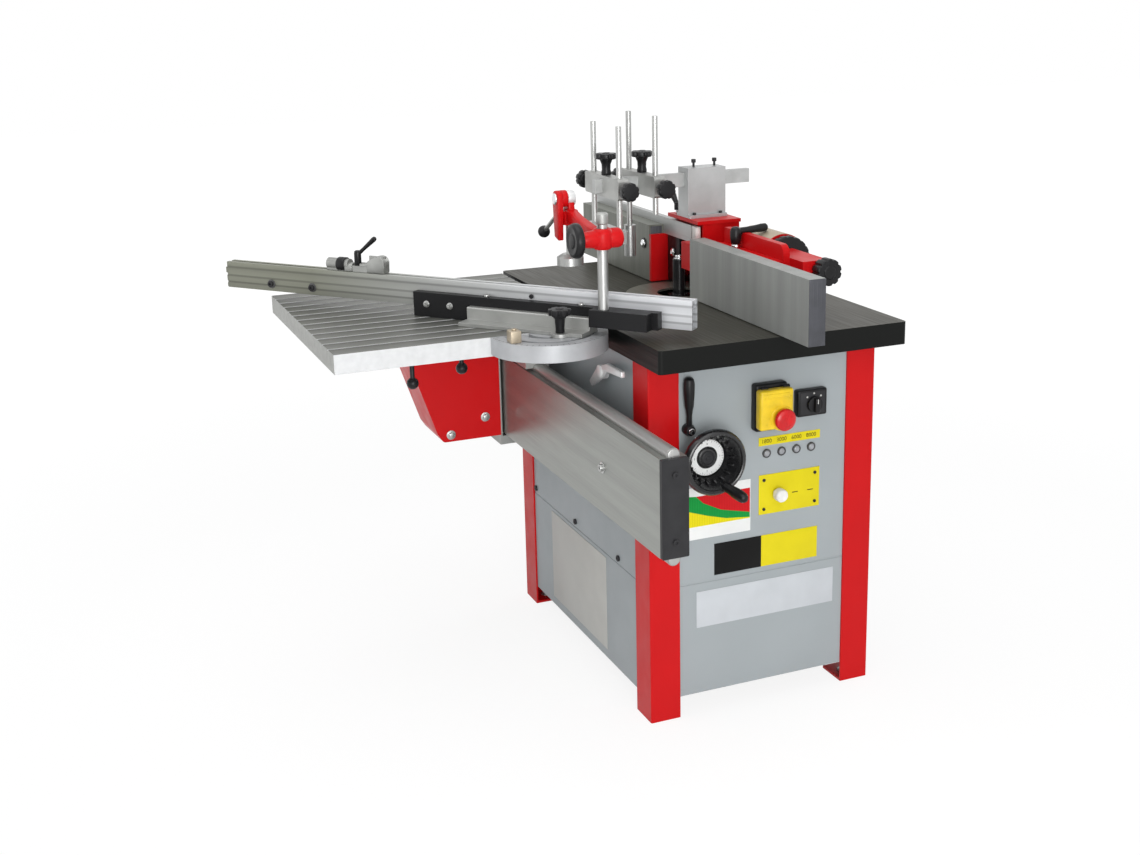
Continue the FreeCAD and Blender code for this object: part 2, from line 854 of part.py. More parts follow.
def build_table():
    """Cast table with its spindle opening, and the two nested insert rings."""
    outline = rectangle(both("table_length / 2"), ("table_front", "table_rear"))
    slab = prism(outline, "z", ("table_under", "table_height"), "table_corner")
    centre = ("spindle_x", "spindle_y")
    tools = [
        rod("z", centre, ("table_under", "table_height"), "ring_seat - ring_ledge"),
        rod("z", centre, ("table_height - ring_thick", "table_height"), "ring_seat"),
    ]
    under = ("table_under", "table_height - table_web")
    for side in (-1, 1):
        near, far = f"{side} * pocket_inner", f"{side} * pocket_outer"
        x_span = (near, far) if side > 0 else (far, near)
        tools.append(block(x_span, ("table_web / 2", "pocket_reach"), under))
        tools.append(block(x_span, ("-pocket_reach", "-table_web / 2"), under))
    node("table", cut(slab, *tools))

    floor = "table_height - ring_thick"
    step = "table_height - ring_step"
    outer = turned((("ring_split - ring_step", floor), ("ring_seat - slide_gap", floor),
                    ("ring_seat - slide_gap", "table_height"), ("ring_split", "table_height"),
                    ("ring_split", step), ("ring_split - ring_step", step)),
                   ("spindle_x", "spindle_y", 0))
    inner = turned((("ring_bore", step), ("ring_split - slide_gap", step),
                    ("ring_split - slide_gap", "table_height"), ("ring_bore", "table_height")),
                   ("spindle_x", "spindle_y", 0))
    node("table_rings", group(outer, inner))


def build_drive():
    """Quill, spindle, motor, stepped pulleys, belt, lift columns and lift screw."""
    top = "arbor_base + arbor_length"
    under = "arbor_base - flange_thick"
    low = "pulley_base - slide_gap"
    shaft = ((0, low), ("shaft_radius", low), ("shaft_radius", "quill_base"),
             ("journal_radius", "quill_base"), ("journal_radius", under),
             ("flange_radius", under), ("flange_radius", "arbor_base"),
             ("arbor_radius", "arbor_base"), ("arbor_radius", f"{top} - arbor_chamfer"),
             ("arbor_radius - arbor_chamfer", top), (0, top))
    arbor = turned(shaft, ("spindle_x", "spindle_y", 0))

    centre = ("spindle_x", "spindle_y")
    tube = rod("z", centre, ("quill_base", "quill_top"), "quill_radius")
    arm = block(("spindle_x - bracket_half", "spindle_x + bracket_half"),
                ("bracket_front", "spindle_y"), ("bracket_base", "bracket_top"))
    plate = prism((("motor_x - motor_radius", "spindle_y - motor_radius"),
                   ("spindle_x", "spindle_y - quill_radius"),
                   ("spindle_x", "spindle_y + quill_radius"),
                   ("motor_x - motor_radius", "spindle_y + motor_radius")),
                  "z", ("quill_base", "quill_base + plate_thick"))
    bores = [
        rod("z", centre, ("quill_base", "quill_top"), "journal_radius + run_gap"),
        rod("z", centre, ("quill_base + bearing_thick", "quill_top - bearing_thick"), "quill_bore"),
        rod("z", ("motor_x", "spindle_y"), ("quill_base", "quill_base + plate_thick"), "shaft_radius * 2"),
        rod("z", ("spindle_x", "wheel_y"), ("bracket_base", "bracket_top"), "screw_radius + run_gap"),
    ]
    for side in ("-", "+"):
        spot = (f"spindle_x {side} column_spread", "column_y")
        bores.append(rod("z", spot, ("bracket_base", "bracket_top"), "column_radius + run_gap"))
    node("quill_housing", cut(fuse(tube, arm, plate), *bores))

    base = "quill_base + plate_thick"
    end = f"{base} + motor_tall"
    case = turned((("shaft_radius + slide_gap", base), ("motor_radius", base),
                   ("motor_radius", f"{end} - motor_dome"), ("motor_radius - motor_inset", end),
                   (0, end), (0, f"{end} - motor_cap"),
                   ("shaft_radius + slide_gap", f"{end} - motor_cap")),
                  ("motor_x", "spindle_y", 0))
    node("motor", scallop(case, "motor_radius + fin_deep", "fin_radius", "motor_fins"))

    def pulley(smallest, bore):
        rings = []
        steps = count("pulley_steps")
        for step in range(steps):
            rank = step if smallest.startswith("motor") else steps - 1 - step
            wide = f"{smallest} + pulley_rise * {rank}"
            foot = f"pulley_base + pulley_step * {step}"
            rings += [(wide, foot), (f"{wide} - groove_deep", f"{foot} + groove_low"),
                      (f"{wide} - groove_deep", f"{foot} + groove_high"),
                      (wide, f"{foot} + pulley_step")]
        return tuple([(bore, "pulley_base")] + rings + [(bore, "pulley_top")])

    stepped = turned(pulley("spindle_pulley_small", "shaft_radius"), ("spindle_x", "spindle_y", 0))
    node("spindle", group(arbor, stepped))
    rotor_top = f"{end} - motor_cap - slide_gap"
    rotor = list(pulley("motor_pulley_small", "shaft_radius"))[1:-1]
    rotor = [(0, "pulley_base")] + rotor + [("shaft_radius", "pulley_top"), ("shaft_radius", rotor_top),
                                            (0, rotor_top)]
    node("motor_pulley", turned(tuple(rotor), ("motor_x", "spindle_y", 0)))

    half = "(groove_high - groove_low) / 2 - slide_gap"
    levels = (f"belt_level - ({half})", f"belt_level + ({half})")
    big = "spindle_pulley_small + pulley_rise * (pulley_steps - 1) - groove_deep + slide_gap"
    small = "motor_pulley_small - groove_deep + slide_gap"
    loops = []
    for thick in ("belt_thick", "0"):
        narrow, wide = f"({small} + {thick})", f"({big} + {thick})"
        far = rod("z", ("motor_x", "spindle_y"), levels, narrow)
        near = rod("z", centre, levels, wide)
        web = prism((("motor_x", f"spindle_y - {narrow}"), ("spindle_x", f"spindle_y - {wide}"),
                     ("spindle_x", f"spindle_y + {wide}"), ("motor_x", f"spindle_y + {narrow}")),
                    "z", levels)
        loops.append(fuse(far, near, web))
    node("drive_belt", cut(*loops))

    bridge = block(("spindle_x - bridge_half", "spindle_x + bridge_half"),
                   ("wheel_y - bridge_deep", "bridge_back"), ("bridge_base", "bridge_top"))
    bearing = block(("spindle_x + bridge_half - bridge_thick", "spindle_x + bridge_half"),
                    ("wheel_y - bridge_deep", "wheel_y + bridge_deep"),
                    ("bridge_base", "wheel_z + bridge_deep"))
    columns = []
    for side in ("-", "+"):
        spot = (f"spindle_x {side} column_spread", "column_y")
        columns.append(rod("z", spot, ("bridge_base", "table_under"), "column_radius"))
    bore = rod("x", ("wheel_y", "wheel_z"), ("spindle_x", "spindle_x + bridge_half + bridge_thick"),
               "axle_radius + run_gap")
    foot = rod("z", ("spindle_x", "wheel_y"), ("bridge_base", "bridge_top"), "screw_radius + run_gap")
    node("lift_frame", cut(fuse(bridge, bearing, *columns), bore, foot))

    gear = "bridge_top + slide_gap"
    meet = "wheel_z - bevel_small - slide_gap * 2"
    screw = ((0, "bridge_base"), ("screw_radius", "bridge_base"), ("screw_radius", gear),
             ("bevel_radius", gear), ("bevel_radius", f"{meet} - bevel_radius + bevel_small"),
             ("screw_radius", f"{meet} - slide_gap"), ("screw_radius", "table_under - slide_gap"),
             (0, "table_under - slide_gap"))
    node("lift_screw", turned(screw, ("spindle_x", "wheel_y", 0)))


def build_handwheel():
    """Dished handwheel with its dial ring, axle and turning grip, and the height clamp lever."""
    face = "stand_x - post_wall"
    hub = f"{face} + hub_out"
    rim = f"{face} + wheel_reach"
    gear = "spindle_x + bevel_small + slide_gap * 2"
    profile = (
        (0, gear), ("screw_radius", gear), ("bevel_radius", f"{gear} + bevel_radius - screw_radius"),
        ("bevel_radius", f"{gear} + bevel_radius - screw_radius + bevel_thick / 2"),
        ("axle_radius", f"{gear} + bevel_radius - screw_radius + bevel_thick / 2"),
        ("axle_radius", hub), ("hub_radius", hub), ("dial_radius + dish_wall", f"{hub} + dish_deep"),
        ("wheel_radius - wheel_rim", f"{rim} - wheel_rim"),
        ("wheel_radius - wheel_rim / 2", f"{rim} - wheel_rim"),
        ("wheel_radius", f"{rim} - wheel_rim / 2"), ("wheel_radius", f"{rim} + wheel_rim / 2"),
        ("wheel_radius - wheel_rim / 2", f"{rim} + wheel_rim"),
        ("wheel_radius - wheel_rim", f"{rim} + wheel_rim / 2"),
        ("wheel_radius - wheel_rim - dish_wall", f"{rim} - wheel_rim + dish_wall"),
        ("dial_radius", f"{hub} + dish_deep * 2"), ("dial_radius", f"{hub} + dish_deep * 2 + dial_thick"),
        ("hub_radius", f"{hub} + dish_deep * 2 + dial_thick"), ("hub_radius", f"{hub} + hub_long"),
        (0, f"{hub} + hub_long"),
    )
    wheel = turned(profile, (0, "wheel_y", "wheel_z"), "x")
    spot = ("wheel_y + grip_orbit * cos(grip_angle)", "wheel_z + grip_orbit * sin(grip_angle)")
    bore = rod("x", spot, (f"{rim} - wheel_rim", f"{rim} + wheel_rim"), "grip_radius / 2 + run_gap")
    node("handwheel", cut(wheel, bore))

    start = f"{rim} + wheel_rim + slide_gap"
    end = f"{start} + grip_long"
    grip = ((0, f"{rim} - wheel_rim"), ("grip_radius / 2", f"{rim} - wheel_rim"), ("grip_radius / 2", start),
            ("grip_neck", start), ("grip_radius", f"{start} + grip_swell"),
            ("grip_tip", f"{end} - grip_radius / 2"), ("grip_radius / 2", end), (0, end))
    node("handwheel_grip", turned(grip, (0, *spot), "x"))

    base = "panel_out_x"
    boss = rod("x", ("clamp_y", "clamp_z"), (base, f"{base} + clamp_out"), "clamp_boss")
    middle = f"{base} + clamp_out / 2"
    stem = rod("z", (middle, "clamp_y"), ("clamp_z", "clamp_z + clamp_stem_long"), "clamp_stem")
    handle = turned(((0, "clamp_z + clamp_root"), ("clamp_stem", "clamp_z + clamp_root"),
                     ("clamp_handle", "clamp_z + clamp_swell"),
                     ("clamp_handle", "clamp_z + clamp_long - clamp_handle / 2"),
                     ("clamp_handle / 2", "clamp_z + clamp_long"), (0, "clamp_z + clamp_long")),
                    (middle, "clamp_y", 0))
    node("height_clamp_lever", fuse(boss, stem, handle))


def build_controls():
    """Switch with its hinged cover and stop button, selector, lamps and spindle lock knob."""
    face = "panel_out_x"
    low, high = "switch_z - switch_tall / 2", "switch_z + switch_tall / 2"
    left, right = "switch_y - switch_wide / 2", "switch_y + switch_wide / 2"
    case = prism(rectangle((left, right), (low, high)), "x", (face, f"{face} + switch_deep"),
                 "switch_deep / 4")

    skin = f"{face} + switch_deep + slide_gap"
    flap_y = ("switch_y - flap_wide / 2", "switch_y + flap_wide / 2")
    flap_z = ("switch_z - flap_tall / 2", "switch_z + flap_tall / 2")
    cover = prism(rectangle(flap_y, flap_z), "x", (skin, f"{skin} + flap_deep"), "flap_deep / 3")
    spot = ("switch_y + button_side", "switch_z - button_drop")
    bore = rod("x", spot, (skin, f"{skin} + flap_deep"), "button_stem + run_gap")
    hinge = rod("y", (f"{skin} + hinge_radius", flap_z[1]), flap_y, "hinge_radius")
    node("switch_flap", cut(fuse(cover, hinge), bore))

    proud = f"{skin} + flap_deep"
    crown = f"{proud} + button_rise"
    button = ((0, f"{skin} + flap_deep / 2"), ("button_stem", f"{skin} + flap_deep / 2"),
              ("button_stem", f"{proud} + button_neck"), ("button_radius", f"{proud} + button_neck"),
              ("button_radius", f"{proud} + button_brow"), ("button_crown", crown), (0, crown))
    node("emergency_button", turned(button, (0, *spot), "x"))

    half = "selector_side / 2"
    outline = rectangle((f"selector_y - {half}", f"selector_y + {half}"),
                        (f"selector_z - {half}", f"selector_z + {half}"))
    plate = prism(outline, "x", (face, f"{face} + selector_deep"), "selector_deep / 4")
    node("control_boxes", group(case, plate))
    front = f"{face} + selector_deep + slide_gap"
    dial = rod("x", ("selector_y", "selector_z"), (front, f"{front} + selector_out / 2"), "selector_knob")
    bar = block((front, f"{front} + selector_out"),
                ("selector_y - selector_knob / 3", "selector_y + selector_knob / 3"),
                ("selector_z - selector_bar", "selector_z + selector_bar"))
    node("selector_knob", fuse(dial, bar))

    lamps = []
    for number in range(4):
        spot = (0, f"lamp_first + lamp_pitch * {number}", "lamp_z")
        profile = ((0, face), ("lamp_radius", face), ("lamp_radius", f"{face} + lamp_out / 2"),
                   ("lamp_face", f"{face} + lamp_out"), (0, f"{face} + lamp_out"))
        lamps.append(turned(profile, spot, "x"))
    node("speed_lamps", group(*lamps))

    inside, head = "panel_in_x - pin_stroke", f"{face} + pin_stroke"
    knob = ((0, inside), ("pin_stem", inside), ("pin_stem", head), ("pin_radius", head),
            ("pin_radius", f"{head} + pin_brow"), ("pin_face", f"{head} + pin_out"), (0, f"{head} + pin_out"))
    node("lock_knob", turned(knob, (0, "pin_y", "pin_z"), "x"))


def build_beam():
    """Hollow sliding beam with two round guides and end caps, and the carriage hook lever."""
    span = both("beam_end")
    section = rectangle(("beam_front", "beam_back"), ("beam_bottom", "beam_top"))
    body = prism(section, "x", span)
    middle = "beam_top - beam_height / 2"
    inside = ("beam_front + beam_wall", "beam_back - beam_wall")
    sink = "guide_radius - guide_rise + beam_wall"
    tools = [
        block(span, inside, (f"{middle} + beam_wall / 2", f"beam_top - ({sink})")),
        block(span, inside, (f"beam_bottom + ({sink})", f"{middle} - beam_wall / 2")),
        rod("x", ("beam_mid", "guide_high"), span, "guide_radius + run_gap"),
        rod("x", ("beam_mid", "guide_low"), span, "guide_radius + run_gap"),
    ]
    node("beam", cut(body, *tools))
    node("beam_guides", group(rod("x", ("beam_mid", "guide_high"), span, "guide_radius"),
                              rod("x", ("beam_mid", "guide_low"), span, "guide_radius")))
    near = prism(section, "x", ("beam_end", "beam_end + cap_wall"), "cap_wall / 4")
    far = prism(section, "x", ("-beam_end - cap_wall", "-beam_end"), "cap_wall / 4")
    node("beam_caps", group(near, far))

    wall = "-(panel_out_y)"
    pin = rod("y", ("hook_x", "hook_z"), (f"{wall} - hook_reach", wall), "hook_pin")
    boss = rod("y", ("hook_x", "hook_z"), (f"{wall} - hook_reach", f"{wall} - hook_reach / 3"), "hook_wide")
    blade = prism((("hook_x - hook_long", "hook_z - hook_fall"), ("hook_x - hook_jaw", "hook_z - hook_tip"),
                   ("hook_x + hook_wide", "hook_z - hook_wide / 2"),
                   ("hook_x + hook_tail", "hook_z + hook_wide"),
                   ("hook_x + hook_tail", "hook_z + hook_raise"),
                   ("hook_x - hook_wide", "hook_z + hook_wide / 2")),
                  "y", (f"{wall} - hook_reach", f"{wall} - hook_reach + hook_thick"), "hook_pin / 2")
    node("carriage_hook", fuse(pin, boss, blade))


def build_carriage():
    """Saddle on the beam guides, folded gusset, ribbed cross-cut table, mitre disc and ball knobs."""
    top = block(("saddle_far", "saddle_near"), ("saddle_front", "beam_back - saddle_lip"),
                ("beam_top + saddle_clear", "slab_under"))
    skirt = block(("saddle_far", "skirt_near"), ("skirt_front", "saddle_front"),
                  ("beam_bottom - shoe_deep", "slab_under"))
    shoe = block(("saddle_far", "skirt_near"), ("skirt_front", "beam_mid + guide_radius"),
                 ("beam_bottom - shoe_deep", "beam_bottom - saddle_clear"))
    length = ("saddle_far", "saddle_near")
    grooves = (rod("x", ("beam_mid", "guide_high"), length, "guide_radius + run_gap"),
               rod("x", ("beam_mid", "guide_low"), length, "guide_radius + run_gap"))
    node("carriage", cut(fuse(top, skirt, shoe), *grooves))

    foot = "slab_under - gusset_tall"
    outline = (("skirt_front", foot), ("skirt_front", "slab_under"),
               ("skirt_front - gusset_top", "slab_under"),
               ("skirt_front - gusset_base", f"{foot} + gusset_rise"),
               ("skirt_front - gusset_base + gusset_toe", foot))
    shell = prism(outline, "x", ("gusset_near - gusset_depth", "gusset_near"), "gusset_wall * 2", (4,))
    void = prism((("skirt_front", f"{foot} - gusset_wall"), ("skirt_front", "slab_under"),
                  ("skirt_front - gusset_top + gusset_fold", "slab_under"),
                  ("skirt_front - gusset_base + gusset_fold", f"{foot} + gusset_rise"),
                  ("skirt_front - gusset_base + gusset_toe + gusset_fold", f"{foot} - gusset_wall")),
                 "x", ("gusset_near - gusset_depth + gusset_wall", "gusset_near - gusset_wall"))
    node("gusset", cut(shell, void))

    slab = block(("slab_far", "slab_near"), ("slab_front", "slab_back"), ("slab_under", "table_height"))
    tools = []
    for number in range(count("slab_grooves")):
        middle = f"slab_far + slab_length * {number + 1} / (slab_grooves + 1)"
        tools.append(block((f"{middle} - groove_wide / 2", f"{middle} + groove_wide / 2"),
                           ("slab_front", "slab_back"), ("table_height - slab_groove", "table_height")))
    for number in range(count("slab_cells")):
        middle = f"slab_far + slab_length * (2 * {number} + 1) / (2 * slab_cells)"
        tools.append(block((f"{middle} - cell_wide / 2", f"{middle} + cell_wide / 2"),
                           ("slab_front + cell_end", "slab_back"),
                           ("slab_under + cell_floor", "slab_under + cell_floor + cell_tall")))
    node("cross_table", cut(slab, *tools))

    base = "table_height - disc_thick"
    floor = "table_height - slot_deep"
    disc = turned((("pivot_radius + run_gap", base), ("disc_radius", base), ("disc_radius", "table_height"),
                   ("slot_outer", "table_height"), ("slot_outer", floor), ("slot_inner", floor),
                   ("slot_inner", "table_height"), ("arc_outer", "table_height"),
                   ("arc_outer", "arc_floor"), ("arc_inner", "arc_floor"), ("arc_inner", "table_height"),
                   ("pivot_radius + run_gap", "table_height")),
                  ("pivot_x", "pivot_y", 0))
    behind = block(("slab_near - disc_radius * 2", "slab_near"),
                   ("pivot_y - disc_radius", "pivot_y + disc_radius"), (base, "table_height"))
    node("mitre_disc", cut(disc, behind))

    knobs = []
    for across, drop in (("ball_near_y", "ball_near_drop"), ("ball_far_y", "ball_far_drop")):
        stem = rod("z", ("ball_x", across), (f"slab_under - {drop}", "slab_under"), "ball_stem")
        knobs.append(fuse(stem, ball(("ball_x", across, f"slab_under - {drop}"), "ball_radius")))
    node("ball_knobs", group(*knobs))


def build_mitre_fence():
    """Carrier, holder, clamp knob, slotted fence and its sliding stop, drawn along the fence."""
    section = (("-carrier_front", "seat"), ("fence_front", "seat"), ("fence_front", "holder_base"),
               ("rib_back", "holder_base"), ("rib_back", "seat + rib_top"), ("rib_front", "seat + rib_top"),
               ("rib_front", "seat + carrier_base"), ("-carrier_front", "seat + carrier_base"))
    cast = prism(section, "x", ("-carrier_left", "carrier_right"), "carrier_base / 3", (5,))
    pin = rod("z", (0, 0), ("table_height - disc_thick + slide_gap", "seat + carrier_base"), "pivot_radius")
    ear = rod("z", ("knob_u", "knob_v"), ("seat", "seat + carrier_base"), "ear_radius")
    hole = rod("z", ("knob_u", "knob_v"), ("seat", "seat + carrier_base"), "pivot_radius + run_gap")
    mitre_node("mitre_carrier", cut(fuse(cast, pin, ear), hole))

    bar = block(("-holder_left", "holder_right"), ("rib_back", "fence_front"), ("holder_base", "holder_top"))
    head = block(("block_left", "holder_right - stop_base"), ("block_front", "fence_front"),
                 ("holder_base", "holder_top"))
    socket = rod("z", ("post_u", "post_v"), ("holder_base + rib_front", "holder_top"), "pillar_radius")
    foot = block(("-holder_left", "-carrier_left - slide_gap"), ("rib_back", "fence_front"),
                 ("seat", "holder_base"))
    mitre_node("mitre_holder", cut(fuse(bar, head, foot), socket))

    low = "arc_floor + slide_gap"
    deck = "seat + carrier_base + slide_gap"
    waist = f"{deck} + star_lift"
    crown = f"{waist} + star_thick"
    rim = "star_radius * knob_edge"
    stud = ((0, low), ("pivot_radius", low), ("pivot_radius", deck), ("collar_radius", deck),
            ("collar_radius", waist), ("star_radius * knob_waist", waist),
            ("star_radius", f"{waist} + star_thick * knob_belly"), ("star_radius", f"{crown} - {rim}"),
            (f"star_radius - {rim}", crown), (0, crown))
    knob = scallop(turned(stud, ("knob_u", "knob_v", 0)), "star_radius * hollow_orbit",
                   "star_radius * hollow_size", "star_lobes")
    mitre_node("mitre_knob", knob)

    mouth = ("fence_centre - tee_mouth / 2", "fence_centre + tee_mouth / 2")
    tee = ("fence_centre - tee_wide / 2", "fence_centre + tee_wide / 2")
    neck, floor = "fence_top - tee_neck", "fence_top - tee_neck - tee_deep"
    section = (("fence_front", "fence_base"), ("fence_back", "fence_base"), ("fence_back", "fence_top"),
               (mouth[1], "fence_top"), (mouth[1], neck), (tee[1], neck), (tee[1], floor), (tee[0], floor),
               (tee[0], neck), (mouth[0], neck), (mouth[0], "fence_top"), ("fence_front", "fence_top"))
    length = ("-fence_left", "fence_right")
    bar = prism(section, "x", length)
    hollow = block(length, ("fence_front + fence_wall", "fence_back - fence_wall"),
                   ("fence_base + fence_wall", f"{floor} - fence_wall"))
    mitre_node("mitre_fence", cut(bar, hollow))

    end = "stop_u + stop_long"
    base = block(("stop_u", end), ("fence_centre - stop_half", "fence_centre + stop_half"),
                 ("stop_floor", "stop_deck"))
    key = block(("stop_u", end), (f"{mouth[0]} + slide_gap", f"{mouth[1]} - slide_gap"),
                (f"{neck} - tee_deep / 2", "stop_floor"))
    nut = block(("stop_u", end), (f"{tee[0]} + slide_gap", f"{tee[1]} - slide_gap"),
                (f"{floor} + slide_gap", f"{neck} - slide_gap"))
    barrel = rod("x", ("fence_centre", "stop_deck"), ("stop_u", "stop_u + barrel_long"), "stop_barrel")
    tongue = block((f"{end} - tongue_long", end),
                   ("fence_centre - tongue_half", "fence_centre + tongue_half"),
                   ("stop_deck", "stop_deck + tongue_tall"))
    clear = block(("stop_u - stop_barrel", end), ("fence_front - stop_barrel", "fence_back + stop_barrel"),
                  (f"{neck} - tee_deep * 2", "stop_floor"))
    upper = cut(fuse(base, barrel, tongue), clear)
    socket = rod("z", ("stop_pin_u", "fence_centre"), ("stop_floor", "stop_deck"), "stop_pin + run_gap")
    mitre_node("flip_stop", cut(fuse(upper, key, nut), socket))

    spot = ("stop_pin_u", "fence_centre")
    low = "stop_deck + stop_hub_tall"
    pin = rod("z", spot, ("stop_floor + slide_gap", "stop_deck + slide_gap"), "stop_pin")
    hub = rod("z", spot, ("stop_deck + slide_gap", low), "stop_hub")
    handle = prism((("stop_pin_u - stop_hub / 2", f"{low} - stop_hub"),
                    ("stop_pin_u + stop_hub / 2", f"{low} - stop_hub"),
                    ("stop_pin_u + stop_arm", f"{low} + stop_arm_rise - stop_hub / 2"),
                    ("stop_pin_u + stop_arm", f"{low} + stop_arm_rise + stop_hub / 2"),
                    ("stop_pin_u - stop_hub / 2", low)),
                   "y", ("fence_centre - stop_grip", "fence_centre + stop_grip"), "stop_hub / 4")
    mitre_node("stop_lever", fuse(pin, hub), handle)


def build_hold_down():
    """Pillar, swinging arm with its clamp knob, eccentric lever, and plunger with pad."""
    pillar = rod("z", ("post_u", "post_v"), ("holder_base + rib_front", "pillar_top"), "pillar_radius")
    mitre_node("clamp_pillar", pillar)

    boss = rod("z", (0, 0), ("arm_base", "arm_top"), "arm_boss")
    lug = rod("y", (0, "arm_middle"), (0, "lug_reach"), "lug_radius")
    tip = rod("z", ("arm_reach", 0), ("tip_base", "tip_top"), "arm_end")
    heel = rod("z", (0, "-tail_reach"), ("arm_base", "arm_top"), "tail_boss")
    neck = block(both("tail_boss"), ("-tail_reach", 0), ("arm_base", "arm_top"))
    low, high = "arm_middle - arm_tall / 2", "arm_middle + arm_tall / 2"
    web = prism(((0, low), ("arm_reach", f"{low} + arm_rise"), ("arm_reach", f"{high} + arm_rise"),
                 (0, high)), "y", both("arm_wide / 2"))
    ear = prism((("arm_reach - arm_end", "tip_top"), ("arm_reach + arm_end", "tip_top"),
                 ("arm_reach + ear_top", "ear_pin + ear_top"), ("arm_reach - ear_top", "ear_pin + ear_top")),
                "y", both("ear_wall / 2"))
    pivot = rod("y", ("arm_reach", "ear_pin"), (0, "ear_wall / 2 + cam_thick"), "cam_pin")
    bore = rod("z", (0, 0), ("arm_base", "arm_top"), "pillar_radius + run_gap")
    guide = rod("z", ("arm_reach", 0), ("tip_base", "tip_top - ear_wall / 2"), "plunger_radius + run_gap")
    thread = rod("y", (0, "arm_middle"), ("pillar_radius", "lug_reach"), "knob_screw + run_gap")
    arm_node("clamp_arm", cut(fuse(boss, lug, tip, heel, neck, web, ear, pivot), bore, guide, thread))

    stem = "lug_reach - pillar_radius + slide_gap"
    knob = hand_knob((0, "pillar_radius + slide_gap", "arm_middle"), "-y", "wheel_knob", "wheel_knob_thick",
                     "knob_screw", stem, "knob_lobes")
    arm_node("clamp_knob", group(knob))

    pad = turned((("0", "pad_base"), ("pad_radius", "pad_base"), ("pad_radius", "pad_base + pad_rim"),
                  ("pad_neck", "pad_base + pad_thick"), ("plunger_radius", "pad_base + pad_thick"),
                  ("plunger_radius", "plunger_top"), ("0", "plunger_top")), ("arm_reach", 0, 0))
    arm_node("clamp_plunger", group(pad))

    inner = "ear_wall / 2 + slide_gap"
    cam = rod("y", ("arm_reach", "ear_pin"), (inner, f"{inner} + cam_thick"), "cam_radius")
    plate = prism((("arm_reach - cam_radius", "ear_pin"), ("arm_reach", "ear_pin + cam_radius"),
                   ("arm_reach + cam_radius", "ear_pin"),
                   ("arm_reach + lever_foot + cam_pin", "ear_pin - lever_drop"),
                   ("arm_reach + lever_foot - cam_radius", "ear_pin - lever_drop - cam_pin")),
                  "y", (f"{inner} + cam_thick / 2", f"{inner} + cam_thick"), "cam_pin", (0, 1, 2, 3, 4))
    hole = rod("y", ("arm_reach", "ear_pin"), (inner, f"{inner} + cam_thick"), "cam_pin + run_gap")
    middle = f"{inner} + tail_level"
    root, low = "ear_pin - tail_root", "ear_pin - ball_fall"
    end = "arm_reach + ball_reach"
    tail = prism((("arm_reach", f"{root} - tail_radius"), (end, f"{low} - tail_radius"),
                  (end, f"{low} + tail_radius"), ("arm_reach", f"{root} + tail_radius")),
                 "y", (f"{middle} - tail_radius", f"{middle} + tail_radius"))
    grip = ball((end, middle, low), "cam_ball")
    arm_node("clamp_cam_lever", cut(fuse(cam, plate, tail, grip), hole))


def hollow_plate(start, end):
    """Make a slotted hollow fence plate between two positions along the feed."""
    section = rectangle(("plate_front", "plate_back"), ("plate_base", "plate_top"))
    body = prism(section, "x", (start, end))
    middle = "plate_base + plate_tall / 2"
    inside = ("plate_front + plate_skin", "plate_back - plate_skin")
    tools = []
    for low, high in (("plate_base + plate_skin", f"{middle} - plate_skin / 2"),
                      (f"{middle} + plate_skin / 2", "plate_top - plate_skin")):
        tools.append(block((start, end), inside, (low, high)))
    return cut(body, *tools)


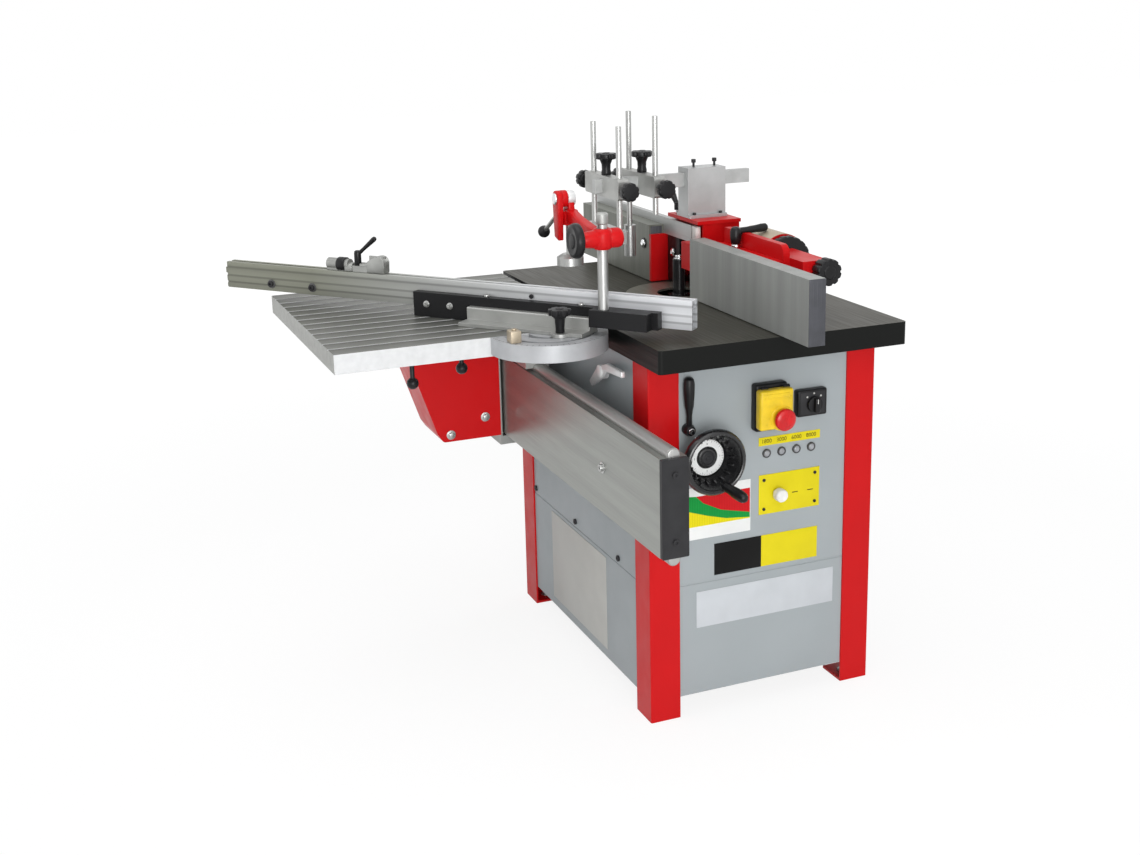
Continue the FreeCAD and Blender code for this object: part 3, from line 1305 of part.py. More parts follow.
def build_fence():
    """Cutter hood with its dust duct, fence carriers, plates, knobs and clamp lever."""
    low = prism(rectangle(("hood_left", "hood_right"), ("hood_base", "hood_shoulder")), "y",
                ("hood_front", "hood_back"), "hood_bend", (2, 3))
    crown = prism(rectangle(("crown_left", "crown_right"), ("hood_base", "hood_top")), "y",
                  ("hood_front", "crown_back"))
    lip = block(("crown_left - lip_over", "crown_right + lip_over"), ("hood_front - lip_front", "crown_back"),
                ("hood_top", "lip_top"))
    duct = rod("y", ("spindle_x", "duct_z"), ("hood_back - hood_wall", "hood_back + duct_long"),
               "duct_radius")
    inner_low = block(("hood_left + hood_wall", "hood_right - hood_wall"),
                      ("hood_front", "hood_back - hood_wall"), ("hood_base", "hood_shoulder - hood_wall"))
    inner_crown = block(("crown_left + hood_wall", "crown_right - hood_wall"),
                        ("hood_front", "crown_back - hood_wall"), ("hood_base", "hood_top - hood_wall"))
    bore = rod("y", ("spindle_x", "duct_z"), ("hood_back - hood_wall * 2", "hood_back + duct_long"),
               "duct_radius - duct_wall")
    node("hood", cut(fuse(low, crown, lip, duct), inner_low, inner_crown, bore))

    node("outfeed_plate", hollow_plate("outfeed_end", "outfeed_start"))
    node("infeed_plate", hollow_plate("infeed_start", "infeed_end"))

    node("outfeed_rail", block(("bar_left", "bar_right"), ("bar_front", "bar_back"),
                               ("bar_base", "bar_base + bar_tall")))
    wing = block(("hood_left - arm_far", "hood_left"), ("bar_back", "bar_back + carrier_deep"),
                 ("hood_base", "carrier_top"))
    near = "outfeed_start + slide_gap"
    bracket = block((near, f"{near} + bracket_wall"), ("plate_front", "bar_back"), ("plate_base", "bar_base"))
    node("outfeed_carrier", group(wing, bracket))

    left = "hood_right + slide_gap"
    wing = block((left, "housing_right"), ("bar_front", "housing_back"), ("hood_base", "carrier_top"))
    wall = prism(rectangle((left, "housing_right"), ("carrier_top", "housing_top")), "y",
                 ("housing_front", "housing_back"), "housing_round", (2,))
    barrel = rod("x", ("barrel_y", "barrel_z"), (left, "barrel_end"), "barrel_radius")
    nose = prism(rectangle(("housing_back", "nose_back"), ("nose_base", "nose_top")), "x",
                 ("nose_left", "nose_right"), "nose_round", (1, 2))
    end = "infeed_start - slide_gap"
    tab_y = "bar_front + bracket_wall / 2"
    tab = block((f"{end} - tab_wide", end), ("plate_front", tab_y), ("tab_base", "carrier_top"))
    link = block((f"{end} - tab_wide", f"{left} + bracket_wall"), ("bar_front", tab_y),
                 ("tab_base", "carrier_top"))
    depth = rod("x", ("barrel_y", "barrel_z"), ("barrel_end - knob_thick", "barrel_end"),
                "knob_stem + run_gap")
    feed = rod("x", ("nose_mid_y", "nose_mid_z"), ("nose_right - knob_thick", "nose_right"),
               "knob_stem + run_gap")
    stud = rod("z", ("lever_x", "lever_y"), ("carrier_top - lever_sink", "carrier_top"),
               "lever_pin + run_gap")
    node("infeed_carrier", cut(fuse(wing, wall, barrel, nose, tab, link), depth, feed, stud))

    stem = "knob_thick"
    start = ("barrel_end - knob_thick + slide_gap", "barrel_y", "barrel_z")
    node("depth_knob", hand_knob(start, "x", "depth_radius", "knob_thick", "knob_stem", stem, "depth_lobes"))
    start = ("nose_right - knob_thick + slide_gap", "nose_mid_y", "nose_mid_z")
    node("infeed_knob", hand_knob(start, "x", "knob_radius", "knob_long", "knob_stem", stem, "knob_lobes"))

    seat = "carrier_top + slide_gap"
    top = f"{seat} + lever_tall"
    stub = rod("z", ("lever_x", "lever_y"), ("carrier_top - lever_sink + slide_gap", seat), "lever_pin")
    hub = rod("z", ("lever_x", "lever_y"), (seat, top), "lever_hub")
    tip = "lever_y + lever_long"
    arm = prism((("lever_y", f"{top} - lever_grip * 2"), (tip, f"{top} + lever_rise - lever_grip"),
                 (tip, f"{top} + lever_rise + lever_grip"), ("lever_y", top)),
                "x", ("lever_x - lever_grip", "lever_x + lever_grip"), "lever_grip / 2")
    node("fence_clamp_lever", fuse(stub, hub, arm))


def build_pressure_unit():
    """Tower on the hood, cross bar, two heads with rods, and their star and side knobs."""
    tower = block(("tower_left", "tower_right"), ("tower_front", "tower_back"), ("lip_top", "tower_top"))
    foot = block(("tower_left - tower_flange", "tower_right + tower_flange"), ("tower_front", "tower_back"),
                 ("lip_top", "lip_top + tower_foot"))
    bar_x = ("crown_mid - beam_bar / 2", "crown_mid + beam_bar / 2")
    bar_z = ("beam_bar_base", "beam_bar_base + beam_bar_tall")
    slot = block((f"{bar_x[0]} - slide_gap", f"{bar_x[1]} + slide_gap"), ("tower_front", "tower_back"),
                 (f"{bar_z[0]} - slide_gap", f"{bar_z[1]} + slide_gap"))
    node("hood_block", cut(fuse(tower, foot), slot))
    node("pressure_bar", block(bar_x, ("bar_reach_front", "bar_reach_back"), bar_z))

    for label, middle in (("front", "head_front_y"), ("rear", "head_rear_y")):
        depth = (f"{middle} - head_deep / 2", f"{middle} + head_deep / 2")
        outline = rectangle(("crown_mid - head_half", "crown_mid + head_half"), ("head_base", "head_top"))
        head = prism(outline, "y", depth, "head_deep / 4")
        tools = [block(bar_x, depth, bar_z),
                 rod("z", ("crown_mid", middle), (bar_z[1], "head_top"), "star_stem + run_gap")]
        for side in ("-", "+"):
            spot = (f"crown_mid {side} rod_spread", middle)
            tools.append(rod("z", spot, ("head_base", "head_top"), "rod_radius + run_gap"))
        node(f"head_{label}", cut(head, *tools))
        foot = ("crown_mid", middle, f"{bar_z[1]} + slide_gap")
        stem_long = f"head_top - ({bar_z[1]}) + star_lift"
        knob = hand_knob(foot, "z", "star_radius", "star_thick", "star_stem", stem_long, "star_lobes")
        node(f"star_knob_{label}", knob)
    knobs = []
    for middle in ("head_front_y", "head_rear_y"):
        for side, heading in ((1, "x"), (-1, "-x")):
            foot = (f"crown_mid + {side} * head_half", middle, "head_mid")
            knobs.append(hand_knob(foot, heading, "side_knob", "side_thick", "side_stem", "side_lift",
                                   "star_lobes"))
    node("side_knobs", group(*knobs))

    rods = []
    for side in ("-", "+"):
        spot = (f"crown_mid {side} rod_spread", "head_front_y")
        rods.append(rod("z", spot, ("pad_bar_base", "front_rod_top"), "rod_radius"))
    pad = prism(rectangle(("crown_mid - pad_bar_half", "crown_mid + pad_bar_half"),
                          ("head_front_y - pad_bar_deep / 2", "head_front_y + pad_bar_deep / 2")), "z",
                ("pad_bar_base", "pad_bar_base + pad_bar_tall"), "pad_bar_deep / 4")
    node("front_rods", fuse(*rods, pad))
    spot = ("crown_mid - rod_spread", "head_rear_y")
    long_rod = rod("z", spot, ("shoe_base", "rear_rod_top"), "rod_radius")
    shoe = rod("z", spot, ("shoe_base", "shoe_base + shoe_tall"), "shoe_radius")
    spot = ("crown_mid + rod_spread", "head_rear_y")
    plain = rod("z", spot, ("rear_guide_base", "rear_rod_top"), "rod_radius")
    node("rear_rods", group(fuse(long_rod, shoe), plain))


def main():
    """Build every sub-part, check the document and write one file per sub-part."""
    build_stand()
    build_table()
    build_drive()
    build_handwheel()
    build_controls()
    build_beam()
    build_carriage()
    build_mitre_fence()
    build_hold_down()
    build_fence()
    build_pressure_unit()
    doc.recompute()
    for item in doc.Objects:
        if "Invalid" in item.State or "Error" in item.State:
            raise RuntimeError(f"{item.Name} ({item.Label}) failed: {item.State}")
    for label, item in nodes.items():
        if item.Shape.isNull() or not item.Shape.isValid() or not item.Shape.Solids:
            raise RuntimeError(f"{label} has no sound solid")
    os.makedirs("parts", exist_ok=True)
    for label, item in nodes.items():
        item.Shape.exportStep(f"parts/{label}.step")
    print(f"{len(nodes)} sub-parts written")


main()
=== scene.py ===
"""Looks of a spindle moulder with a sliding cross-cut table.

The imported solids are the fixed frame. This script gives them their finishes and adds the hand knobs,
levers, plates and fasteners. Sizes are in millimetres in the calls and in metres in the meshes.
"""
from __future__ import annotations

import logging
import math
from dataclasses import dataclass
from enum import Enum
from typing import Optional, Sequence, Union

import bmesh
import bpy
from mathutils import Matrix, Vector

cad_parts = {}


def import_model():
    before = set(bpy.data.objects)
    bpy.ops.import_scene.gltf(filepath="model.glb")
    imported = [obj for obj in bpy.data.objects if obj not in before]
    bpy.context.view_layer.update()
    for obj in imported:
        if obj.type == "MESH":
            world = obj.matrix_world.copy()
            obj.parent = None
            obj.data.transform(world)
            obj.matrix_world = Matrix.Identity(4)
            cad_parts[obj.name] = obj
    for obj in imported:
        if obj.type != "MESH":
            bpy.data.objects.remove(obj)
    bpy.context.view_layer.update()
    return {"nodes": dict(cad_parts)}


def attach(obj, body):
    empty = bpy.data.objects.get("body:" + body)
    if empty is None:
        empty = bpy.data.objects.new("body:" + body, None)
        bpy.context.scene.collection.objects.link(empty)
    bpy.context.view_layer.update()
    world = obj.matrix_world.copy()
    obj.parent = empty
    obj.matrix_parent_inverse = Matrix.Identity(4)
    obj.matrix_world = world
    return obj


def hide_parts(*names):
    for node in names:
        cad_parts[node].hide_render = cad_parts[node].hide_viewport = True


LOG = logging.getLogger("spindle_moulder")
MM = 0.001
Point = tuple[float, float, float]
Flat = tuple[float, float]
Colour = tuple[float, float, float]
Box = tuple[Point, Point]
Outline = tuple[Flat, ...]
Socket = bpy.types.NodeSocket

TABLE_TOP = 850.0
MITRE_PIVOT: Flat = (212.0, -417.0)
MITRE_TURN = 40.5


class Axis(Enum):
    """A direction that a piece faces: its right, its up and its outward direction."""

    X = ((0, 1, 0), (0, 0, 1), (1, 0, 0))
    NEG_X = ((0, -1, 0), (0, 0, 1), (-1, 0, 0))
    Y = ((-1, 0, 0), (0, 0, 1), (0, 1, 0))
    NEG_Y = ((1, 0, 0), (0, 0, 1), (0, -1, 0))
    Z = ((1, 0, 0), (0, 1, 0), (0, 0, 1))

    def at(self, x: float, y: float, z: float) -> Matrix:
        """Find the place of a piece that faces this way.

        Args:
            x: Place along the table.
            y: Place across the table.
            z: Height above the floor.

        Returns:
            The matrix from the piece's own frame to the machine's.
        """
        turn = Matrix(self.value).transposed().to_4x4()
        return Matrix.Translation(Vector((x, y, z)) * MM) @ turn


class Side(Enum):
    """One of a vector's three parts, by the name of its socket."""

    X = "X"
    Y = "Y"
    Z = "Z"


class Grain(Enum):
    """The way a drawn or brushed surface's lines run, as stretches along X, Y and Z."""

    ALONG_X = (0.02, 1.0, 1.0)
    ALONG_Y = (1.0, 0.02, 1.0)
    ALONG_Z = (1.0, 1.0, 0.02)
    NONE = (1.0, 1.0, 1.0)


class Head(Enum):
    """A screw's head, by its number of sides: a hexagon, or a round one with a sunk socket."""

    HEXAGON = 6
    SOCKET = 24


def shade(colour: Colour, factor: float) -> Colour:
    """Return a colour made darker or lighter by a factor."""
    return tuple(min(1.0, part * factor) for part in colour)


def grey(level: float) -> Colour:
    """Return a colour with the same level in its three parts."""
    return (level, level, level)


class Graph:
    """A material's node tree, with short calls for the nodes that the finishes share."""

    MIX_SHARE = 0
    MIX_FIRST = 6
    MIX_SECOND = 7
    MIX_COLOUR = 2
    CLOUD_SPAN: Flat = (0.3, 0.7)
    TOP_SLOPES: Flat = (0.6, 0.8)
    EDGE_SAMPLES = 4

    def __init__(self, name: str) -> None:
        """Start a node tree with one shader.

        Args:
            name: Name of the material.
        """
        self.material = bpy.data.materials.new(name)
        self.material.use_nodes = True
        self.tree = self.material.node_tree
        self.shader = self.tree.nodes["Principled BSDF"]
        self.place = self.add("ShaderNodeTexCoord").outputs["Object"]

    def add(self, kind: str, **values: object) -> bpy.types.Node:
        """Add a node and set its unlinked inputs.

        Args:
            kind: Blender's name of the node type.
            values: Input names, with underscores for spaces, and their values.

        Returns:
            The new node.
        """
        node = self.tree.nodes.new(kind)
        for name, value in values.items():
            node.inputs[name.replace("_", " ")].default_value = value
        return node

    def link(self, source: Socket, target: Socket) -> None:
        """Join an output to an input."""
        self.tree.links.new(source, target)

    def drive(self, name: str, source: Socket) -> None:
        """Let a pattern drive one of the shader's sockets."""
        self.link(source, self.shader.inputs[name])

    def set(self, **values: object) -> None:
        """Set constant values on the shader's own sockets."""
        for name, value in values.items():
            self.shader.inputs[name.replace("_", " ")].default_value = value

    def stretched(self, grain: Grain, turn: float = 0.0) -> Socket:
        """Turn the object's coordinates about Z, then stretch them.

        Args:
            grain: The way the pattern is drawn out.
            turn: Angle of the piece's own length from X, in degrees.

        Returns:
            The changed coordinates.
        """
        node = self.add("ShaderNodeMapping")
        node.vector_type = "TEXTURE"
        node.inputs["Rotation"].default_value = (0.0, 0.0, math.radians(turn))
        node.inputs["Scale"].default_value = tuple(1.0 / value for value in grain.value)
        self.link(self.place, node.inputs["Vector"])
        return node.outputs["Vector"]

    def noise(self, scale: float, detail: float = 3.0, place: Optional[Socket] = None) -> Socket:
        """Lay a cloud pattern.

        Args:
            scale: How close the pattern is.
            detail: How many finer layers it has.
            place: Coordinates to lay it on, or none for the object's own.

        Returns:
            The pattern's value.
        """
        node = self.add("ShaderNodeTexNoise", Scale=scale, Detail=detail)
        self.link(place or self.place, node.inputs["Vector"])
        return node.outputs["Fac"]

    def ramp(self, source: Socket, stops: Sequence[tuple[float, Colour]]) -> Socket:
        """Carry a value through a few colours.

        Args:
            source: The value.
            stops: Values in rising order, each with its colour.

        Returns:
            The colour.
        """
        node = self.add("ShaderNodeValToRGB")
        band = node.color_ramp.elements
        band[0].position = stops[0][0]
        band[1].position = stops[-1][0]
        for where, _ in stops[1:-1]:
            band.new(where)
        for mark, (_, colour) in zip(band, stops):
            mark.color = (*colour, 1.0)
        self.link(source, node.inputs["Fac"])
        return node.outputs["Color"]

    def toned(self, source: Socket, colour: Colour, low: float, high: float = 1.0,
              span: Flat = CLOUD_SPAN) -> Socket:
        """Let a colour wander between a darker and a lighter tone of itself.

        Args:
            source: Pattern to follow.
            colour: The colour.
            low: Factor of the darker tone.
            high: Factor of the lighter tone.
            span: Values of the pattern at which the two tones are reached.

        Returns:
            The colour.
        """
        return self.ramp(source, ((span[0], shade(colour, low)), (span[1], shade(colour, high))))

    def between(self, source: Socket, span: Flat, target: Flat = (0.0, 1.0)) -> Socket:
        """Carry a value from one span to another and hold it at the ends.

        Args:
            source: The value.
            span: Two values of the source.
            target: What these become.

        Returns:
            The new value.
        """
        node = self.add("ShaderNodeMapRange", From_Min=span[0], From_Max=span[1],
                        To_Min=target[0], To_Max=target[1])
        self.link(source, node.inputs["Value"])
        return node.outputs["Result"]

    def spread(self, source: Socket, low: float, high: float) -> Socket:
        """Return a cloud pattern spread between two limits."""
        return self.between(source, self.CLOUD_SPAN, (low, high))

    def along(self, side: Side, source: Optional[Socket] = None) -> Socket:
        """Take one part of a vector.

        Args:
            side: Which part.
            source: The vector, or none for the object's coordinates.

        Returns:
            The part.
        """
        node = self.add("ShaderNodeSeparateXYZ")
        self.link(source or self.place, node.inputs["Vector"])
        return node.outputs[side.value]

    def facing(self, slopes: Flat = TOP_SLOPES, side: Side = Side.Z) -> Socket:
        """Tell how far a surface faces along an axis.

        Args:
            slopes: Parts of the normal at which the result is 0 and 1.
            side: The axis.

        Returns:
            A share from 0 to 1.
        """
        normal = self.add("ShaderNodeNewGeometry").outputs["Normal"]
        return self.between(self.along(side, normal), slopes)

    def cell(self, start: float, pitch: float) -> Socket:
        """Find the place within one step of a pattern that repeats along X.

        Args:
            start: Where the first step starts, in metres.
            pitch: Length of a step in metres.

        Returns:
            A share from 0 to 1.
        """
        result = self.along(Side.X)
        for operation, value in (("SUBTRACT", start), ("DIVIDE", pitch), ("FRACT", 0.0)):
            node = self.add("ShaderNodeMath")
            node.operation = operation
            node.inputs[1].default_value = value
            self.link(result, node.inputs[0])
            result = node.outputs[0]
        return result

    def mix(self, share: Socket, first: Union[Socket, Colour], second: Union[Socket, Colour]) -> Socket:
        """Mix two colours.

        Args:
            share: Share of the second colour.
            first: A socket or a colour.
            second: A socket or a colour.

        Returns:
            The mixed colour.
        """
        node = self.add("ShaderNodeMix")
        node.data_type = "RGBA"
        self.link(share, node.inputs[self.MIX_SHARE])
        for number, value in ((self.MIX_FIRST, first), (self.MIX_SECOND, second)):
            if isinstance(value, tuple):
                node.inputs[number].default_value = (*value, 1.0)
            else:
                self.link(value, node.inputs[number])
        return node.outputs[self.MIX_COLOUR]

    def relief(self, source: Socket, strength: float, depth: float, round_off: float) -> None:
        """Raise a pattern on the surface, over edges that are rounded off.

        Args:
            source: Height pattern.
            strength: Share of the relief that shows.
            depth: Height of the relief in metres.
            round_off: Radius of the rounded edges in metres.
        """
        edge = self.add("ShaderNodeBevel", Radius=round_off)
        edge.samples = self.EDGE_SAMPLES
        bump = self.add("ShaderNodeBump", Strength=strength, Distance=depth)
        self.link(source, bump.inputs["Height"])
        self.link(edge.outputs["Normal"], bump.inputs["Normal"])
        self.drive("Normal", bump.outputs["Normal"])


@dataclass(frozen=True)
class Finish:
    """A surface finish: the name of its material and its main colour."""

    name: str
    colour: Colour

    def material(self) -> bpy.types.Material:
        """Make the finish's material.

        Returns:
            The new material.
        """
        graph = Graph(self.name)
        self.lay(graph)
        return graph.material

    def lay(self, graph: Graph) -> None:
        """Lay the finish's nodes.

        Args:
            graph: Node tree of the material.
        """
        raise NotImplementedError


@dataclass(frozen=True)
class Paint(Finish):
    """Sprayed paint with a fine peel and faint clouding."""

    roughness: float = 0.35
    cloud: float = 0.10
    peel: float = 0.05
    gloss: float = 0.35
    coat: float = 0.08
    cloud_span: Flat = (0.32, 0.68)

    def lay(self, graph: Graph) -> None:
        """Lay the clouded colour, the peel and the thin clear coat.

        Args:
            graph: Node tree of the material.
        """
        cloud = graph.noise(scale=5.0, detail=5.0)
        tone = graph.toned(cloud, self.colour, low=1.0 - self.cloud, span=self.cloud_span)
        graph.drive("Base Color", tone)
        gloss = graph.noise(scale=23.0)
        graph.drive("Roughness", graph.spread(gloss, low=self.roughness - 0.05, high=self.roughness + 0.07))
        graph.relief(graph.noise(scale=650.0, detail=1.0), self.peel, depth=0.0006, round_off=0.0012)
        graph.set(Coat_Weight=self.coat, Coat_Roughness=0.12, Specular_IOR_Level=self.gloss)


@dataclass(frozen=True)
class Drawn(Finish):
    """Extruded, brushed or turned metal whose fine lines run one way."""

    roughness: float
    grain: Grain = Grain.NONE
    metallic: float = 0.9
    lines: float = 420.0
    depth: float = 0.35
    broad_share: float = 1.0 / 14.0

    def lay(self, graph: Graph) -> None:
        """Lay broad tones and fine lines along the grain.

        Args:
            graph: Node tree of the material.
        """
        along = graph.stretched(self.grain)
        fine = graph.noise(self.lines, detail=2.0, place=along)
        broad = graph.noise(self.lines * self.broad_share, detail=3.0, place=along)
        graph.drive("Base Color", graph.toned(broad, self.colour, low=0.86, high=1.06))
        graph.drive("Roughness", graph.spread(fine, low=self.roughness - 0.07, high=self.roughness + 0.09))
        graph.relief(fine, self.depth, depth=0.00025, round_off=0.0007)
        graph.set(Metallic=self.metallic)


@dataclass(frozen=True)
class Cast(Finish):
    """Sand-cast or blasted metal with a close grain."""

    roughness: float
    metallic: float = 0.75
    grain: float = 520.0
    depth: float = 0.35

    def lay(self, graph: Graph) -> None:
        """Lay the clouded skin, duller where it is darker, and its grain.

        Args:
            graph: Node tree of the material.
        """
        cloud = graph.noise(scale=14.0, detail=5.0)
        graph.drive("Base Color", graph.toned(cloud, self.colour, low=0.82, high=1.05))
        graph.drive("Roughness", graph.spread(cloud, low=self.roughness + 0.08, high=self.roughness - 0.06))
        graph.relief(graph.noise(self.grain, detail=4.0), self.depth, depth=0.0005, round_off=0.0015)
        graph.set(Metallic=self.metallic)


@dataclass(frozen=True)
class GroundTop(Finish):
    """Cast iron with a ground top face and painted edges."""

    edge: Colour
    metallic: float = 0.4

    def lay(self, graph: Graph) -> None:
        """Lay the ground top where the surface faces up, and paint elsewhere.

        Args:
            graph: Node tree of the material.
        """
        up = graph.facing()
        lines = graph.noise(scale=300.0, detail=2.0, place=graph.stretched(Grain.ALONG_X))
        ground = graph.toned(graph.noise(scale=7.0, detail=5.0), self.colour, low=0.8, high=1.1)
        graph.drive("Base Color", graph.mix(up, self.edge, ground))
        graph.drive("Roughness", graph.spread(lines, low=0.36, high=0.52))
        graph.drive("Metallic", graph.mix(up, grey(0.0), grey(self.metallic)))
        graph.relief(lines, strength=0.12, depth=0.0002, round_off=0.0015)
        graph.set(Specular_IOR_Level=0.15)


@dataclass(frozen=True)
class Ribbed(Finish):
    """Extruded table top with painted shadow and highlight at each groove, pale sides and a grey sawn end.
    """

    edge: Colour
    sawn: Colour
    start: float
    pitch: float
    # bands: tone factors across one groove step: painted groove shadow at 0.45 fading to the plain tone, and
    # a painted highlight at 1.75 just before the next groove.
    bands: Outline = ((0.0, 0.45), (0.07, 0.45), (0.16, 0.72), (0.50, 1.0), (0.82, 1.15),
                      (0.86, 1.75), (0.91, 1.75), (0.935, 0.45))
    end_slopes: Flat = (-0.6, -0.8)
    edge_metallic: float = 0.08
    top_metallic: float = 0.6

    def lay(self, graph: Graph) -> None:
        """Lay painted groove shadows and highlights where the surface faces up, pale and sawn sides
        elsewhere.

        Args:
            graph: Node tree of the material.
        """
        up = graph.facing()
        lines = graph.noise(scale=360.0, detail=2.0, place=graph.stretched(Grain.ALONG_Y))
        # ribs is painted light: a painted shadow in each groove and a painted highlight beside it.
        ribs = graph.ramp(graph.cell(self.start, self.pitch),
                          [(where, shade(self.colour, factor)) for where, factor in self.bands])
        cloud = graph.noise(scale=60.0, detail=4.0)
        pale = graph.toned(cloud, self.edge, low=0.9)
        dull = graph.toned(cloud, self.sawn, low=0.8)
        rim = graph.mix(graph.facing(self.end_slopes, Side.Y), pale, dull)
        graph.drive("Base Color", graph.mix(up, rim, ribs))
        graph.drive("Roughness", graph.spread(lines, low=0.34, high=0.50))
        graph.drive("Metallic", graph.mix(up, grey(self.edge_metallic), grey(self.top_metallic)))
        graph.relief(lines, strength=0.3, depth=0.00025, round_off=0.0008)


@dataclass(frozen=True)
class Slotted(Finish):
    """Extruded bar with painted slot shadows and highlights along it, and a painted reflection growing
    toward one end.
    """

    bright: Colour
    span: Flat
    reach: Flat
    turn: float
    # lines: tone factors by height: the dips are painted shadow in the slots, the peaks painted highlights.
    lines: Outline = ((0.0, 0.95), (0.17, 0.95), (0.20, 0.62), (0.24, 0.62), (0.27, 1.08), (0.42, 1.08),
                      (0.45, 0.75), (0.50, 0.75), (0.53, 1.15), (0.74, 1.0), (0.78, 0.68), (0.82, 0.68),
                      (0.86, 1.1), (1.0, 1.25))

    def lay(self, graph: Graph) -> None:
        """Lay the painted slot shadows and highlights by height, and the painted reflection that grows along
        the length.

        Args:
            graph: Node tree of the material.
        """
        height = graph.between(graph.along(Side.Z), self.span)
        length = graph.between(graph.along(Side.X, graph.stretched(Grain.NONE, self.turn)), self.reach)
        fine = graph.noise(scale=420.0, detail=2.0, place=graph.stretched(Grain.ALONG_X, self.turn))
        # dull is the bar's own tone and bare is a painted reflection, both carrying the painted slot lines;
        # the reflection grows along the length.
        dull = graph.ramp(height, [(where, shade(self.colour, factor)) for where, factor in self.lines])
        bare = graph.ramp(height, [(where, shade(self.bright, factor)) for where, factor in self.lines])
        graph.drive("Base Color", graph.mix(length, dull, bare))
        graph.drive("Roughness", graph.spread(fine, low=0.38, high=0.54))
        graph.relief(fine, strength=0.25, depth=0.00025, round_off=0.0007)
        graph.set(Metallic=0.55)


@dataclass(frozen=True)
class Moulded(Finish):
    """Moulded plastic or rubber with a fine pebbled skin."""

    roughness: float
    pebble: float = 900.0
    depth: float = 0.25
    gloss: float = 0.4

    def lay(self, graph: Graph) -> None:
        """Lay the clouded colour and the pebbled skin.

        Args:
            graph: Node tree of the material.
        """
        cloud = graph.noise(scale=40.0, detail=4.0)
        graph.drive("Base Color", graph.toned(cloud, self.colour, low=0.85, high=1.12))
        graph.drive("Roughness", graph.spread(cloud, low=self.roughness - 0.06, high=self.roughness + 0.06))
        graph.relief(graph.noise(self.pebble, detail=2.0), self.depth, depth=0.0003, round_off=0.0008)
        graph.set(Specular_IOR_Level=self.gloss)


@dataclass(frozen=True)
class Printed(Finish):
    """A thin printed or enamelled plate with faint fading and, where asked, fine rule lines."""

    rule: Optional[Colour] = None
    rule_scale: float = 78.54
    rule_edge: Flat = (0.90, 0.97)

    def lay(self, graph: Graph) -> None:
        """Lay the faded colour and its rule lines.

        Args:
            graph: Node tree of the material.
        """
        cloud = graph.noise(scale=18.0, detail=4.0)
        tone = graph.toned(cloud, self.colour, low=0.93)
        if self.rule:
            wave = graph.add("ShaderNodeTexWave", Scale=self.rule_scale)
            wave.bands_direction = "Y"
            graph.link(graph.place, wave.inputs["Vector"])
            start, end = self.rule_edge
            share = graph.ramp(wave.outputs["Fac"], ((start, grey(0.0)), (end, grey(1.0))))
            tone = graph.mix(share, tone, self.rule)
        graph.drive("Base Color", tone)
        graph.drive("Roughness", graph.spread(cloud, low=0.32, high=0.42))
        graph.relief(graph.noise(scale=500.0, detail=1.0), strength=0.04, depth=0.0002, round_off=0.0003)
        graph.set(Specular_IOR_Level=0.12)


